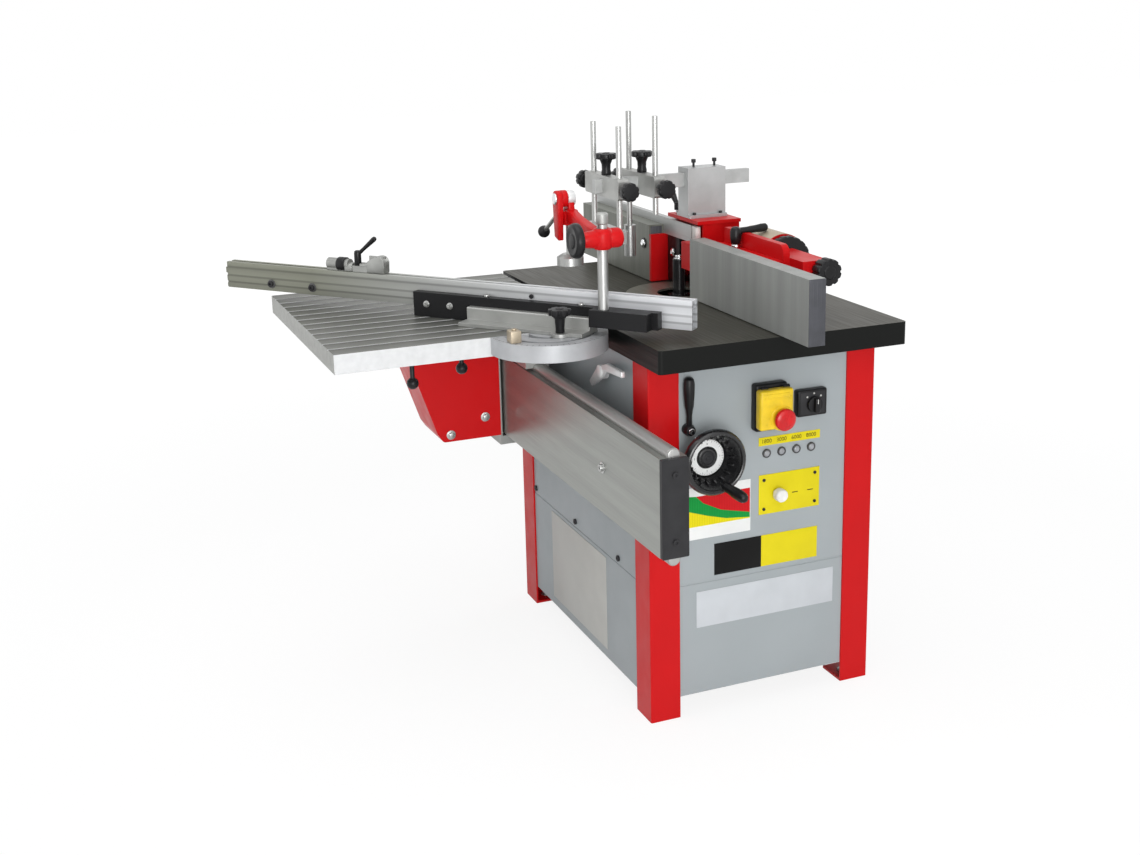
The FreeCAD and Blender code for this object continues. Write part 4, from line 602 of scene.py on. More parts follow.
class Shop:
    """The machine's finishes, each made into a material once."""

    RED = Paint("red_enamel", (0.62, 0.006, 0.008), 0.36, cloud=0.08, gloss=0.16, coat=0.02)
    GREY = Paint("grey_enamel", (0.375, 0.41, 0.425), 0.45, cloud=0.06, gloss=0.25, coat=0.03)
    BLACK = Paint("black_enamel", (0.011, 0.011, 0.012), 0.42, gloss=0.2, coat=0.0)
    MOTOR = Paint("motor_enamel", (0.10, 0.12, 0.14), 0.45)
    TABLE = GroundTop("table_iron", (0.058, 0.056, 0.045), edge=(0.0045, 0.005, 0.0045))
    IRON = Cast("inner_iron", (0.10, 0.10, 0.10), 0.55, metallic=0.5)
    STEEL = Drawn("turned_steel", (0.46, 0.465, 0.455), 0.34, Grain.ALONG_Z, metallic=0.85, lines=300.0,
                  depth=0.05)
    OXIDE = Drawn("blackened_steel", (0.030, 0.030, 0.032), 0.22, Grain.ALONG_Z, metallic=0.6, lines=300.0,
                  depth=0.10)
    CHROME = Drawn("bright_chrome", (0.78, 0.79, 0.80), 0.14, metallic=1.0, lines=200.0, depth=0.05)
    RING = Drawn("ring_steel", (0.30, 0.29, 0.25), 0.38, Grain.ALONG_X, metallic=0.8, lines=300.0,
                 depth=0.15)
    BEAM = Drawn("beam_aluminium", (0.30, 0.31, 0.29), 0.36, Grain.ALONG_X, metallic=0.7)
    PLATE = Drawn("fence_aluminium", (0.33, 0.342, 0.33), 0.48, Grain.ALONG_Z, metallic=0.45, depth=0.12)
    OUTFEED = Drawn("outfeed_aluminium", (0.175, 0.182, 0.158), 0.48, Grain.ALONG_Z, metallic=0.45,
                    depth=0.12)
    PLUG = Moulded("grey_end_plug", (0.060, 0.062, 0.072), 0.5, pebble=600.0, depth=0.2)
    RAIL = Drawn("rail_aluminium", (0.48, 0.49, 0.485), 0.42, Grain.ALONG_X, metallic=0.75)
    # The cross table's groove lines are painted shadow and painted highlight, from Ribbed.bands.
    RIBBED = Ribbed("ribbed_aluminium", (0.15, 0.152, 0.138), edge=(0.735, 0.745, 0.75),
                    sawn=(0.42, 0.425, 0.40), start=-0.438, pitch=0.640 / 13)
    # bright is the colour of the fence's painted reflection, strongest toward one end.
    FENCE = Slotted("mitre_aluminium", (0.20, 0.205, 0.165), bright=(0.62, 0.63, 0.65), span=(0.870, 0.931),
                    reach=(-0.75, -0.05), turn=MITRE_TURN)
    STOP = Cast("stop_casting", (0.36, 0.365, 0.35), 0.36)
    DISC = Cast("disc_aluminium", (0.45, 0.46, 0.475), 0.45, metallic=0.35)
    HOOK = Cast("bright_casting", (0.74, 0.75, 0.75), 0.42, metallic=0.35)
    GUIDE = Drawn("guide_steel", (0.36, 0.36, 0.35), 0.38, Grain.ALONG_X, metallic=0.6, lines=260.0,
                  depth=0.06)
    CASTING = Cast("cast_aluminium", (0.42, 0.425, 0.41), 0.45)
    BLOCK = Cast("block_aluminium", (0.48, 0.49, 0.49), 0.42, metallic=0.6)
    KNOB = Moulded("black_moulding", (0.009, 0.009, 0.010), 0.36, gloss=0.25)
    CAP = Moulded("cap_moulding", (0.024, 0.024, 0.026), 0.5, gloss=0.25)
    YELLOW = Moulded("yellow_moulding", (0.86, 0.60, 0.020), 0.33, pebble=700.0, depth=0.1)
    MUSHROOM = Moulded("red_moulding", (0.62, 0.006, 0.010), 0.28, pebble=700.0, depth=0.08)
    WHITE = Moulded("white_moulding", (0.82, 0.82, 0.79), 0.3, pebble=700.0, depth=0.08)
    WHEEL = Moulded("wheel_moulding", (0.011, 0.011, 0.012), 0.26, depth=0.15, gloss=0.55)
    LENS = Moulded("pale_lens", (0.34, 0.35, 0.37), 0.15, pebble=500.0, depth=0.05)
    BELT = Moulded("belt_rubber", (0.018, 0.018, 0.018), 0.7)
    SLEEVE = Drawn("sleeve_zinc", (0.46, 0.39, 0.29), 0.42, Grain.ALONG_X, metallic=0.5)
    CARD_WHITE = Printed("white_print", (0.86, 0.87, 0.86))
    CARD_PALE = Printed("pale_print", (0.60, 0.63, 0.66))
    CARD_GREY = Printed("pale_grey_print", (0.56, 0.56, 0.53))
    CARD_YELLOW = Printed("yellow_print", (0.78, 0.66, 0.015))
    CARD_BLACK = Printed("black_print", (0.007, 0.007, 0.007))
    BAND_RED = Printed("chart_red", (0.62, 0.012, 0.016), rule=(0.45, 0.006, 0.010))
    BAND_GREEN = Printed("chart_green", (0.010, 0.32, 0.055), rule=(0.004, 0.20, 0.03))
    BAND_YELLOW = Printed("chart_yellow", (0.85, 0.74, 0.012), rule=(0.55, 0.45, 0.005))

    def __init__(self) -> None:
        """Start with no material made."""
        self.made: dict[str, bpy.types.Material] = {}

    def get(self, finish: Finish) -> bpy.types.Material:
        """Find a finish's material, which is made at its first use.

        Args:
            finish: The finish.

        Returns:
            Its material.
        """
        if finish.name not in self.made:
            self.made[finish.name] = finish.material()
        return self.made[finish.name]


class Shape:
    """A mesh in the making, from forms with sizes in millimetres and angles in radians."""

    SHARP = 0.55
    SHARP_LOBE = 0.9
    WELD_METRES = 1e-6
    LOBE_STEPS = 16
    LOBE_POWER = 1.5
    WASHER_THICK = 1.2
    HEAD_SOFT = 0.12
    SOCKET_WALL = 0.45
    SOCKET_DEPTH = 0.55
    FIGURE_THICK = 0.1

    def __init__(self) -> None:
        """Start with an empty mesh."""
        self.mesh = bmesh.new()

    @staticmethod
    def soften(part: bmesh.types.BMesh, soft: float, steps: int, sharp: float = SHARP) -> None:
        """Round the sharp edges of a form.

        Args:
            part: Form to change.
            soft: Width of the rounding.
            steps: Number of faces across it.
            sharp: Angle between two faces, in radians, past which their edge counts as sharp.
        """
        if soft <= 0:
            return
        hard = [edge for edge in part.edges if edge.is_manifold and edge.calc_face_angle(0.0) > sharp]
        bmesh.ops.bevel(part, geom=hard, offset=soft * MM, offset_type="OFFSET", affect="EDGES",
                        segments=steps, profile=0.5, clamp_overlap=True, material=-1)

    @staticmethod
    def thicken(part: bmesh.types.BMesh, faces: Sequence[bmesh.types.BMFace], depth: float) -> None:
        """Extrude faces along the form's own Z.

        Args:
            part: Form to change.
            faces: Faces to extrude.
            depth: How far they go.
        """
        grown = bmesh.ops.extrude_face_region(part, geom=list(faces))
        moved = [item for item in grown["geom"] if isinstance(item, bmesh.types.BMVert)]
        bmesh.ops.translate(part, vec=(0.0, 0.0, depth * MM), verts=moved)

    def take(self, part: bmesh.types.BMesh, place: Matrix) -> Shape:
        """Move a finished form to its place and add it here.

        Args:
            part: Form, which is used up.
            place: Its place in the machine.

        Returns:
            This shape.
        """
        bmesh.ops.recalc_face_normals(part, faces=part.faces)
        bmesh.ops.transform(part, matrix=place, verts=part.verts)
        scrap = bpy.data.meshes.new("scrap")
        part.to_mesh(scrap)
        part.free()
        self.mesh.from_mesh(scrap)
        bpy.data.meshes.remove(scrap)
        return self

    def slab(self, box: Box, soft: float = 0.8, steps: int = 2) -> Shape:
        """Add a block with softened edges.

        Args:
            box: Its lower and its upper corner.
            soft: Width of the rounding on its edges.
            steps: Number of faces across it.

        Returns:
            This shape.
        """
        low, high = (Vector(corner) for corner in box)
        part = bmesh.new()
        bmesh.ops.create_cube(part, size=1.0)
        bmesh.ops.scale(part, vec=(high - low) * MM, verts=part.verts)
        self.soften(part, soft, steps)
        return self.take(part, Matrix.Translation((high + low) / 2 * MM))

    def lathe(self, profile: Outline, place: Matrix, soft: float = 0.8, sides: int = 64) -> Shape:
        """Spin an outline about the place's own Z.

        Args:
            profile: Pairs of radius and height, from the foot to the top.
            place: Foot of the axis and its direction.
            soft: Width of the rounding on sharp edges.
            sides: Number of faces round the axis.

        Returns:
            This shape.
        """
        part = bmesh.new()
        verts = [part.verts.new((radius * MM, 0.0, height * MM)) for radius, height in profile]
        edges = [part.edges.new(pair) for pair in zip(verts, verts[1:])]
        bmesh.ops.spin(part, geom=verts + edges, cent=(0, 0, 0), axis=(0, 0, 1), dvec=(0, 0, 0),
                       angle=math.tau, steps=sides, use_merge=True, use_duplicate=False)
        bmesh.ops.remove_doubles(part, verts=part.verts, dist=self.WELD_METRES)
        self.soften(part, soft, steps=2)
        return self.take(part, place)

    def drum(self, place: Matrix, radius: float, length: float, soft: float = 0.6, sides: int = 48) -> Shape:
        """Add a cylinder.

        Args:
            place: Its foot and its direction.
            radius: Its radius.
            length: Its length.
            soft: Width of the rounding on its edges.
            sides: Number of faces round it.

        Returns:
            This shape.
        """
        return self.lathe(((0, 0), (radius, 0), (radius, length), (0, length)), place, soft, sides)

    def prism(self, outline: Outline, place: Matrix, depth: float, soft: float = 0.6) -> Shape:
        """Extrude a flat outline, drawn as seen from outside.

        Args:
            outline: Corners, right and up of the place.
            place: Point that the outline is drawn from, and the direction that it faces.
            depth: Thickness.
            soft: Width of the rounding on sharp edges.

        Returns:
            This shape.
        """
        part = bmesh.new()
        face = part.faces.new([part.verts.new((right * MM, up * MM, 0.0)) for right, up in outline])
        self.thicken(part, [face], depth)
        bmesh.ops.recalc_face_normals(part, faces=part.faces)
        self.soften(part, soft, steps=2)
        return self.take(part, place)

    def lobed(self, place: Matrix, radius: float, thick: float, lobes: int, bite: float = 0.14,
              soft: float = 2.0) -> Shape:
        """Add a hand knob's head with finger hollows round its edge.

        Args:
            place: Middle of its lower face and the direction that it rises.
            radius: Greatest radius.
            thick: Height of the head.
            lobes: Number of hollows.
            bite: Depth of a hollow as a share of the radius.
            soft: Width of the rounding on its edges.

        Returns:
            This shape.
        """
        part = bmesh.new()
        bmesh.ops.create_circle(part, cap_ends=True, radius=1.0, segments=lobes * self.LOBE_STEPS)
        for vert in part.verts:
            angle = math.atan2(vert.co.y, vert.co.x)
            hollow = max(0.0, math.cos(lobes * angle)) ** self.LOBE_POWER
            vert.co *= radius * MM * (1.0 - bite * hollow)
        self.thicken(part, part.faces[:], thick)
        bmesh.ops.recalc_face_normals(part, faces=part.faces)
        self.soften(part, soft, steps=3, sharp=self.SHARP_LOBE)
        return self.take(part, place)

    def screw(self, place: Matrix, radius: float, rise: float, head: Head = Head.SOCKET,
              washer: float = 0.0) -> Shape:
        """Add a screw's head, on a washer where one is given.

        Args:
            place: Point on the surface below the head, and the direction away from it.
            radius: Radius of the head.
            rise: Height of the head.
            head: Kind of head.
            washer: Radius of the washer, or 0.

        Returns:
            This shape.
        """
        if washer:
            thick = self.WASHER_THICK
            self.lathe(((0, 0), (washer, 0), (washer, thick), (0, thick)), place, soft=0.3, sides=32)
            place = place @ Matrix.Translation((0, 0, thick * MM))
        part = bmesh.new()
        bmesh.ops.create_cone(part, cap_ends=True, cap_tris=False, segments=head.value, radius1=radius * MM,
                              radius2=radius * MM, depth=rise * MM)
        bmesh.ops.translate(part, vec=(0, 0, rise * MM / 2), verts=part.verts)
        self.soften(part, rise * self.HEAD_SOFT, steps=2)
        if head is Head.SOCKET:
            top = max(part.faces, key=lambda face: face.calc_center_median().z)
            bmesh.ops.inset_region(part, faces=[top], thickness=radius * self.SOCKET_WALL * MM)
            self.thicken(part, [top], -rise * self.SOCKET_DEPTH)
            bmesh.ops.delete(part, geom=[top], context="FACES")
        return self.take(part, place)

    def figures(self, text: str, height: float, place: Matrix) -> Shape:
        """Add plain figures.

        Args:
            text: The figures.
            height: Their height.
            place: Their middle on a surface, and the direction that they face.

        Returns:
            This shape.
        """
        curve = bpy.data.curves.new("figures", "FONT")
        curve.body = text
        curve.size = height * MM
        curve.extrude = self.FIGURE_THICK * MM
        curve.align_x = "CENTER"
        curve.align_y = "CENTER"
        holder = bpy.data.objects.new("figures", curve)
        bpy.context.scene.collection.objects.link(holder)
        bpy.context.view_layer.update()
        flat = bpy.data.meshes.new_from_object(holder.evaluated_get(bpy.context.evaluated_depsgraph_get()))
        bpy.data.objects.remove(holder)
        bpy.data.curves.remove(curve)
        part = bmesh.new()
        part.from_mesh(flat)
        bpy.data.meshes.remove(flat)
        return self.take(part, place)


@dataclass
class Assembly:
    """What every sub-assembly shares: its finishes and the way that it makes a piece."""

    shop: Shop

    def piece(self, name: str, shape: Shape, finish: Finish, body: str, slot: str,
              nodes: Sequence[str] = (), smooth: float = 35.0) -> bpy.types.Object:
        """Turn a shape into a piece of the machine.

        Args:
            name: Name of the piece.
            shape: Its mesh, which is used up.
            finish: Its finish.
            body: Body that it moves with.
            slot: Material slot of the record that it belongs to; not used.
            nodes: Solids that it stands for.
            smooth: Angle in degrees under which neighbouring faces shade as one.

        Returns:
            The new object.
        """
        mesh = bpy.data.meshes.new(name)
        shape.mesh.to_mesh(mesh)
        shape.mesh.free()
        mesh.shade_smooth()
        mesh.set_sharp_from_angle(angle=math.radians(smooth))
        mesh.materials.append(self.shop.get(finish))
        made = bpy.data.objects.new(name, mesh)
        bpy.context.scene.collection.objects.link(made)
        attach(made, body)
        if nodes:
            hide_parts(*nodes)
        LOG.info("piece %s on %s, %d faces", name, body, len(mesh.polygons))
        return made

    def build(self) -> None:
        """Make the sub-assembly's pieces."""
        raise NotImplementedError


@dataclass
class Dressing:
    """The finish of every solid: each finish with the names of its solids."""

    groups: tuple[tuple[Finish, str], ...] = (
        (Shop.RED, "post_frame hood outfeed_carrier infeed_carrier gusset clamp_arm clamp_cam_lever"),
        (Shop.GREY, "panel_control panel_front blank_panels"),
        (Shop.BLACK, "mitre_holder"),
        (Shop.MOTOR, "motor"),
        (Shop.TABLE, "table"),
        (Shop.RING, "table_rings"),
        (Shop.IRON, "lift_frame quill_housing motor_pulley"),
        (Shop.STEEL, "lift_screw front_rods rear_rods clamp_pillar clamp_plunger"),
        (Shop.OXIDE, "spindle"),
        (Shop.CHROME, "speed_lamps"),
        (Shop.BEAM, "beam"),
        (Shop.GUIDE, "beam_guides"),
        (Shop.RAIL, "outfeed_rail pressure_bar"),
        (Shop.PLATE, "infeed_plate"),
        (Shop.OUTFEED, "outfeed_plate"),
        (Shop.RIBBED, "cross_table"),
        (Shop.FENCE, "mitre_fence"),
        (Shop.CASTING, "carriage mitre_carrier head_front head_rear"),
        (Shop.BLOCK, "hood_block"),
        (Shop.DISC, "mitre_disc"),
        (Shop.STOP, "flip_stop"),
        (Shop.HOOK, "carriage_hook"),
        (Shop.KNOB, "handwheel handwheel_grip height_clamp_lever selector_knob depth_knob infeed_knob "
                    "fence_clamp_lever side_knobs star_knob_front star_knob_rear ball_knobs mitre_knob "
                    "stop_lever clamp_knob control_boxes"),
        (Shop.CAP, "beam_caps"),
        (Shop.YELLOW, "switch_flap"),
        (Shop.MUSHROOM, "emergency_button"),
        (Shop.WHITE, "lock_knob"),
        (Shop.BELT, "drive_belt"),
    )

    def apply(self, nodes: dict[str, bpy.types.Object], shop: Shop) -> None:
        """Put the finishes on the solids.

        Args:
            nodes: The solids by name.
            shop: The machine's finishes.
        """
        chosen = {name: finish for finish, names in self.groups for name in names.split()}
        for name, item in nodes.items():
            material = shop.get(chosen[name])
            if not item.data.materials:
                item.data.materials.append(material)
            for slot in item.material_slots:
                slot.material = material


@dataclass
class Camera:
    """The view that the machine is seen in: place in metres, angles in degrees, image sizes in pixels."""

    place: Point = (3.06534, -1.48416, 1.57163)
    azimuth: float = 66.797
    elevation: float = 14.492
    roll: float = -0.939
    focal_pixels: float = 1493.1
    centre_offset_pixels: Flat = (47.475, -66.621)
    width_pixels: float = 1140.0
    sensor: float = 36.0
    reach: float = 60.0

    def build(self) -> None:
        """Make the camera and look through it."""
        lens = bpy.data.cameras.new("view")
        lens.sensor_width = self.sensor
        lens.lens = self.focal_pixels / self.width_pixels * self.sensor
        lens.shift_x = -self.centre_offset_pixels[0] / self.width_pixels
        lens.shift_y = self.centre_offset_pixels[1] / self.width_pixels
        lens.clip_end = self.reach
        turn, rise, roll = (math.radians(value) for value in (self.azimuth, self.elevation, self.roll))
        holder = bpy.data.objects.new("view", lens)
        facing = Matrix.Rotation(turn, 4, "Z") @ Matrix.Rotation(math.pi / 2 - rise, 4, "X")
        holder.matrix_world = Matrix.Translation(self.place) @ facing @ Matrix.Rotation(roll, 4, "Z")
        bpy.context.scene.collection.objects.link(holder)
        bpy.context.scene.camera = holder


@dataclass(frozen=True)
class Lamp:
    """One soft square lamp: its place, aim and side in metres, and its power in watts."""

    name: str
    place: Point
    aim: Point
    size: float
    power: float

    def hang(self) -> None:
        """Hang the lamp in the scene."""
        light = bpy.data.lights.new(self.name, "AREA")
        light.size = self.size
        light.energy = self.power
        holder = bpy.data.objects.new(self.name, light)
        holder.location = self.place
        holder.rotation_mode = "QUATERNION"
        holder.rotation_quaternion = (Vector(self.aim) - Vector(self.place)).to_track_quat("-Z", "Y")
        bpy.context.scene.collection.objects.link(holder)


@dataclass
class Studio:
    """Pale floor, white surround and soft lamps."""

    ambient: float = 0.30
    ambient_colour: Colour = (0.97, 0.985, 1.0)
    floor_half: float = 14.0
    floor_level: float = 0.86
    floor_roughness: float = 0.9
    floor_glow: float = 1.06
    near_share: float = 0.82
    fade: Flat = (1.6, 4.5)
    lamps: tuple[Lamp, ...] = (
        Lamp("key", (4.2, -0.2, 3.2), (0.2, 0.0, 0.6), 3.0, 38.0),
        Lamp("low", (4.6, -1.5, 1.2), (0.0, -0.3, 0.7), 1.8, 102.0),
        Lamp("overhead", (0.3, -1.0, 4.2), (0.0, -0.2, 0.8), 3.2, 68.0),
        Lamp("fill", (-0.8, -4.6, 1.8), (0.0, -0.3, 0.7), 3.0, 18.0),
        Lamp("rear", (-2.2, 4.4, 2.6), (0.0, 0.2, 0.8), 3.0, 47.0),
    )

    def build(self) -> None:
        """Make the surround, the floor and the lamps."""
        bpy.context.scene.view_settings.view_transform = "Standard"
        self.make_surround()
        self.make_floor()
        for lamp in self.lamps:
            lamp.hang()

    @staticmethod
    def seen(tree: bpy.types.NodeTree) -> Socket:
        """Tell rays that are seen from rays that only bring light.

        Args:
            tree: Node tree to add the nodes to.

        Returns:
            1 for rays from the camera, a mirror or glass, and 0 for the rest.
        """
        path = tree.nodes.new("ShaderNodeLightPath")
        result = path.outputs["Is Camera Ray"]
        for name in ("Is Glossy Ray", "Is Transmission Ray"):
            both = tree.nodes.new("ShaderNodeMath")
            both.operation = "MAXIMUM"
            tree.links.new(result, both.inputs[0])
            tree.links.new(path.outputs[name], both.inputs[1])
            result = both.outputs[0]
        return result

    @staticmethod
    def choose(tree: bpy.types.NodeTree, share: Socket, first: Socket, second: Socket) -> Socket:
        """Mix two shaders.

        Args:
            tree: Node tree to add the node to.
            share: Share of the second shader.
            first: Output of the first shader.
            second: Output of the second shader.

        Returns:
            Output of the mixed shader.
        """
        pick = tree.nodes.new("ShaderNodeMixShader")
        for number, source in enumerate((share, first, second)):
            tree.links.new(source, pick.inputs[number])
        return pick.outputs[0]

    def make_surround(self) -> None:
        """Make a world that lights softly and is seen as white."""
        world = bpy.data.worlds.new("surround")
        world.use_nodes = True
        bpy.context.scene.world = world
        tree = world.node_tree
        glow = tree.nodes["Background"]
        glow.inputs["Color"].default_value = (*self.ambient_colour, 1.0)
        glow.inputs["Strength"].default_value = self.ambient
        white = tree.nodes.new("ShaderNodeBackground")
        white.inputs["Color"].default_value = (1.0, 1.0, 1.0, 1.0)
        chosen = self.choose(tree, self.seen(tree), glow.outputs[0], white.outputs[0])
        tree.links.new(chosen, tree.nodes["World Output"].inputs[0])

    def floor_material(self) -> bpy.types.Material:
        """Make the floor's material, which takes shadow near the machine and fades to white far off.

        Returns:
            The new material.
        """
        graph = Graph("floor_white")
        graph.set(Base_Color=(*grey(self.floor_level), 1.0), Roughness=self.floor_roughness)
        pale = graph.add("ShaderNodeEmission", Color=(1.0, 1.0, 1.0, 1.0), Strength=self.floor_glow)
        reach = graph.add("ShaderNodeVectorMath")
        reach.operation = "LENGTH"
        graph.link(graph.place, reach.inputs[0])
        share = graph.add("ShaderNodeMath")
        share.operation = "MULTIPLY"
        graph.link(self.seen(graph.tree), share.inputs[0])
        graph.link(graph.between(reach.outputs["Value"], self.fade, (self.near_share, 1.0)), share.inputs[1])
        chosen = self.choose(graph.tree, share.outputs[0], graph.shader.outputs[0], pale.outputs[0])
        graph.link(chosen, graph.tree.nodes["Material Output"].inputs["Surface"])
        return graph.material

    def make_floor(self) -> None:
        """Make the floor."""
        form = bmesh.new()
        bmesh.ops.create_grid(form, x_segments=1, y_segments=1, size=self.floor_half)
        mesh = bpy.data.meshes.new("floor")
        form.to_mesh(mesh)
        form.free()
        mesh.materials.append(self.floor_material())
        floor = bpy.data.objects.new("floor", mesh)
        bpy.context.scene.collection.objects.link(floor)


@dataclass(frozen=True)
class PlateSpec:
    """One flat plate on the control panel: its finish, and its lower and upper corner along the panel."""

    name: str
    finish: Finish
    low: Flat
    high: Flat
    thick: float = 1.0


@dataclass(frozen=True)
class BandSpec:
    """One colour band of the speed chart: its corners as shares of the chart, right and down."""

    name: str
    finish: Finish
    corners: Outline


@dataclass
class ControlPanel(Assembly):
    """Plates, lamps, switch, handwheel, clamp lever and spindle lock on the control end."""

    face: float = 388.0
    print_thick: float = 0.15
    chart_plate: PlateSpec = PlateSpec("chart_plate", Shop.CARD_WHITE, (-188.0, 405.0), (-31.0, 522.0))
    chart_margin: float = 1.5
    plates: tuple[PlateSpec, ...] = (
        PlateSpec("speed_strip", Shop.CARD_YELLOW, (-12.0, 591.5), (139.0, 610.5)),
        PlateSpec("lock_plate", Shop.CARD_YELLOW, (-11.0, 436.0), (139.0, 526.0), 1.5),
        chart_plate,
        PlateSpec("black_plate", Shop.CARD_BLACK, (-118.0, 316.0), (-4.0, 388.0)),
        PlateSpec("yellow_plate", Shop.CARD_YELLOW, (-4.0, 316.0), (136.0, 388.0)),
        PlateSpec("bare_nameplate", Shop.CARD_PALE, (-161.0, 201.0), (179.0, 284.0)),
    )
    bands: tuple[BandSpec, ...] = (
        BandSpec("chart_red_band", Shop.BAND_RED,
                 ((0.163, 0.175), (1.0, 0.165), (1.0, 0.635), (0.55, 0.50), (0.275, 0.32))),
        BandSpec("chart_green_band", Shop.BAND_GREEN,
                 ((0.0, 0.15), (0.163, 0.175), (0.275, 0.32), (0.55, 0.50), (1.0, 0.635), (1.0, 0.735),
                  (0.63, 0.68), (0.327, 0.57), (0.0, 0.42))),
        BandSpec("chart_yellow_band", Shop.BAND_YELLOW,
                 ((0.0, 0.42), (0.327, 0.57), (0.63, 0.68), (1.0, 0.735), (1.0, 0.75), (0.0, 0.755))),
    )

    lamps_across: tuple[float, ...] = (7.0, 43.6, 80.2, 116.8)
    lamp_level: float = 574.0
    speeds: tuple[str, ...] = ("1800", "3000", "6000", "8000")
    strip_thick: float = 1.0
    speed_level: float = 600.8
    speed_height: float = 12.5
    bezel: Outline = ((10.0, 0.0), (10.0, 3.0), (8.6, 5.0), (7.4, 5.0), (7.0, 3.4), (7.0, 0.0), (10.0, 0.0))
    lens: Outline = ((0, 1.0), (7.0, 1.0), (7.0, 3.6), (4.5, 5.2), (0, 5.9))

    switch_case: Box = ((388.0, -32.0, 631.0), (412.0, 45.0, 735.0))
    cover: Box = ((412.3, -34.0, 640.0), (436.3, 46.0, 727.0))
    cover_ridge: Box = ((430.0, -24.0, 709.0), (437.4, 36.0, 719.0))
    cover_collar: Outline = ((17.0, 0.0), (27.5, 0.0), (26.0, 2.2), (17.0, 2.2), (17.0, 0.0))
    collar_sunk: float = 0.3
    hinges_across: Flat = (-16.0, 36.0)
    hinge_axis: Flat = (417.3, 727.0)
    hinge_radius: float = 4.8
    hinge_length: float = 16.0
    button_axis: Flat = (17.0, 664.0)
    button: Outline = ((0, -10.0), (7.9, -10.0), (7.9, 9.4), (21.0, 9.8), (24.0, 12.5), (24.0, 16.5),
                       (22.3, 19.6), (16.0, 22.6), (8.0, 23.8), (0, 24.0))

    selector_case: Box = ((388.0, 72.0, 649.0), (408.0, 144.0, 708.0))
    selector_face: Box = ((408.0, 78.0, 654.0), (408.4, 138.0, 703.0))
    selector_axis: Flat = (111.0, 676.0)
    selector_grip: Box = ((410.0, 105.2, 660.0), (426.2, 116.8, 692.0))
    selector_pointer: Box = ((426.0, 110.2, 680.0), (426.35, 111.8, 690.0))
    selector_gap: float = 0.1
    mark_ring: float = 23.5
    mark_angles: tuple[float, ...] = (-45.0, 0.0, 45.0)
    mark_radius: float = 2.2

    wheel_axis: Flat = (-153.0, 598.0)
    wheel: Outline = (
        (0, -27.4), (10.0, -27.4), (20.0, -17.4), (20.0, -10.4), (10.0, -10.4), (10.0, 402.0),
        (22.0, 402.0), (45.0, 410.0), (58.0, 444.0), (61.0, 446.0), (66.5, 447.5), (70.0, 452.0),
        (71.0, 458.0), (70.0, 464.5), (67.0, 469.0), (63.5, 470.6), (60.0, 469.0), (58.0, 463.5),
        (56.5, 455.0), (53.0, 450.0), (43.0, 421.0), (40.0, 418.0), (40.0, 423.0), (22.0, 423.0),
        (22.0, 426.0), (19.0, 428.0), (0, 428.0))
    rib: Outline = ((-7.0, -2.2), (8.5, -2.2), (8.5, 2.2), (-7.0, 2.2))
    ribs: int = 18
    rib_rise: float = 9.0
    rib_sink: float = 4.0
    rib_place: Point = (48.5, 0.0, 440.5)
    rib_lean: float = 0.35
    rib_tilt: float = -0.95
    dial: Outline = ((24.0, 423.0), (39.0, 423.0), (39.0, 424.2), (24.0, 424.2), (24.0, 423.0))
    dial_level: float = 424.2
    ticks: int = 40
    tick_rim: float = 38.0
    tick_half_width: float = 0.25
    tick_thick: float = 0.12
    long_tick: float = 5.0
    short_tick: float = 2.6
    long_every: int = 4
    dial_figures: int = 4
    figure_ring: float = 29.5
    figure_height: float = 6.0
    hub_cap: Outline = ((0, 428.0), (15.0, 428.0), (15.0, 429.5), (11.5, 431.0), (11.5, 429.6), (5.0, 429.6),
                        (4.0, 431.5), (0, 431.5))
    grip_angle: float = -68.0
    grip_ring: float = 58.0
    grip: Outline = ((0, 445.0), (5.9, 445.0), (5.9, 471.3), (9.4, 471.3), (10.4, 474.0), (9.6, 480.0),
                     (10.6, 495.0), (12.0, 516.0), (12.0, 530.0), (11.0, 543.0), (8.0, 550.0), (4.0, 552.8),
                     (0, 553.3))

    lever_axis: Flat = (-182.0, 655.0)
    lever_hub: Outline = ((0, 0), (12.6, 0), (12.6, 14.0), (10.5, 18.0), (10.5, 22.0), (0, 22.0))
    lever_arm: Outline = ((0, 4.0), (6.4, 4.0), (6.0, 30.0), (7.4, 42.0), (9.6, 52.0), (11.6, 80.0),
                          (11.8, 100.0), (10.0, 109.0), (6.0, 113.0), (0, 114.0))
    lever_arm_out: float = 12.0
    lever_top_out: float = 22.0

    lock_axis: Flat = (31.0, 482.0)
    lock_knob: Outline = ((0, -14.0), (6.9, -14.0), (6.9, 12.0), (12.0, 12.0), (14.5, 14.5), (14.5, 27.5),
                          (13.0, 31.0), (8.0, 32.0), (0, 31.4))
    lock_plate_out: float = 1.5
    lock_screws_across: Flat = (1.0, 127.0)
    lock_screws_up: Flat = (448.0, 514.0)
    lock_dashes: Outline = ((78.0, 476.0), (116.0, 476.0))
    dash_half: Flat = (7.0, 1.0)
    dash_thick: float = 0.12

    def build(self) -> None:
        """Make the plates, the chart, the lamps, the switch, the wheel, the lever and the lock."""
        for spec in self.plates:
            box = ((self.face, *spec.low), (self.face + spec.thick, *spec.high))
            self.piece(spec.name, Shape().slab(box, soft=0.35), spec.finish, "stand", "grey_paint")
        self.make_chart()
        self.make_lamps()
        self.make_switch()
        self.make_selector()
        self.make_wheel()
        self.make_dial()
        self.make_grip()
        self.make_lever()
        self.make_lock()

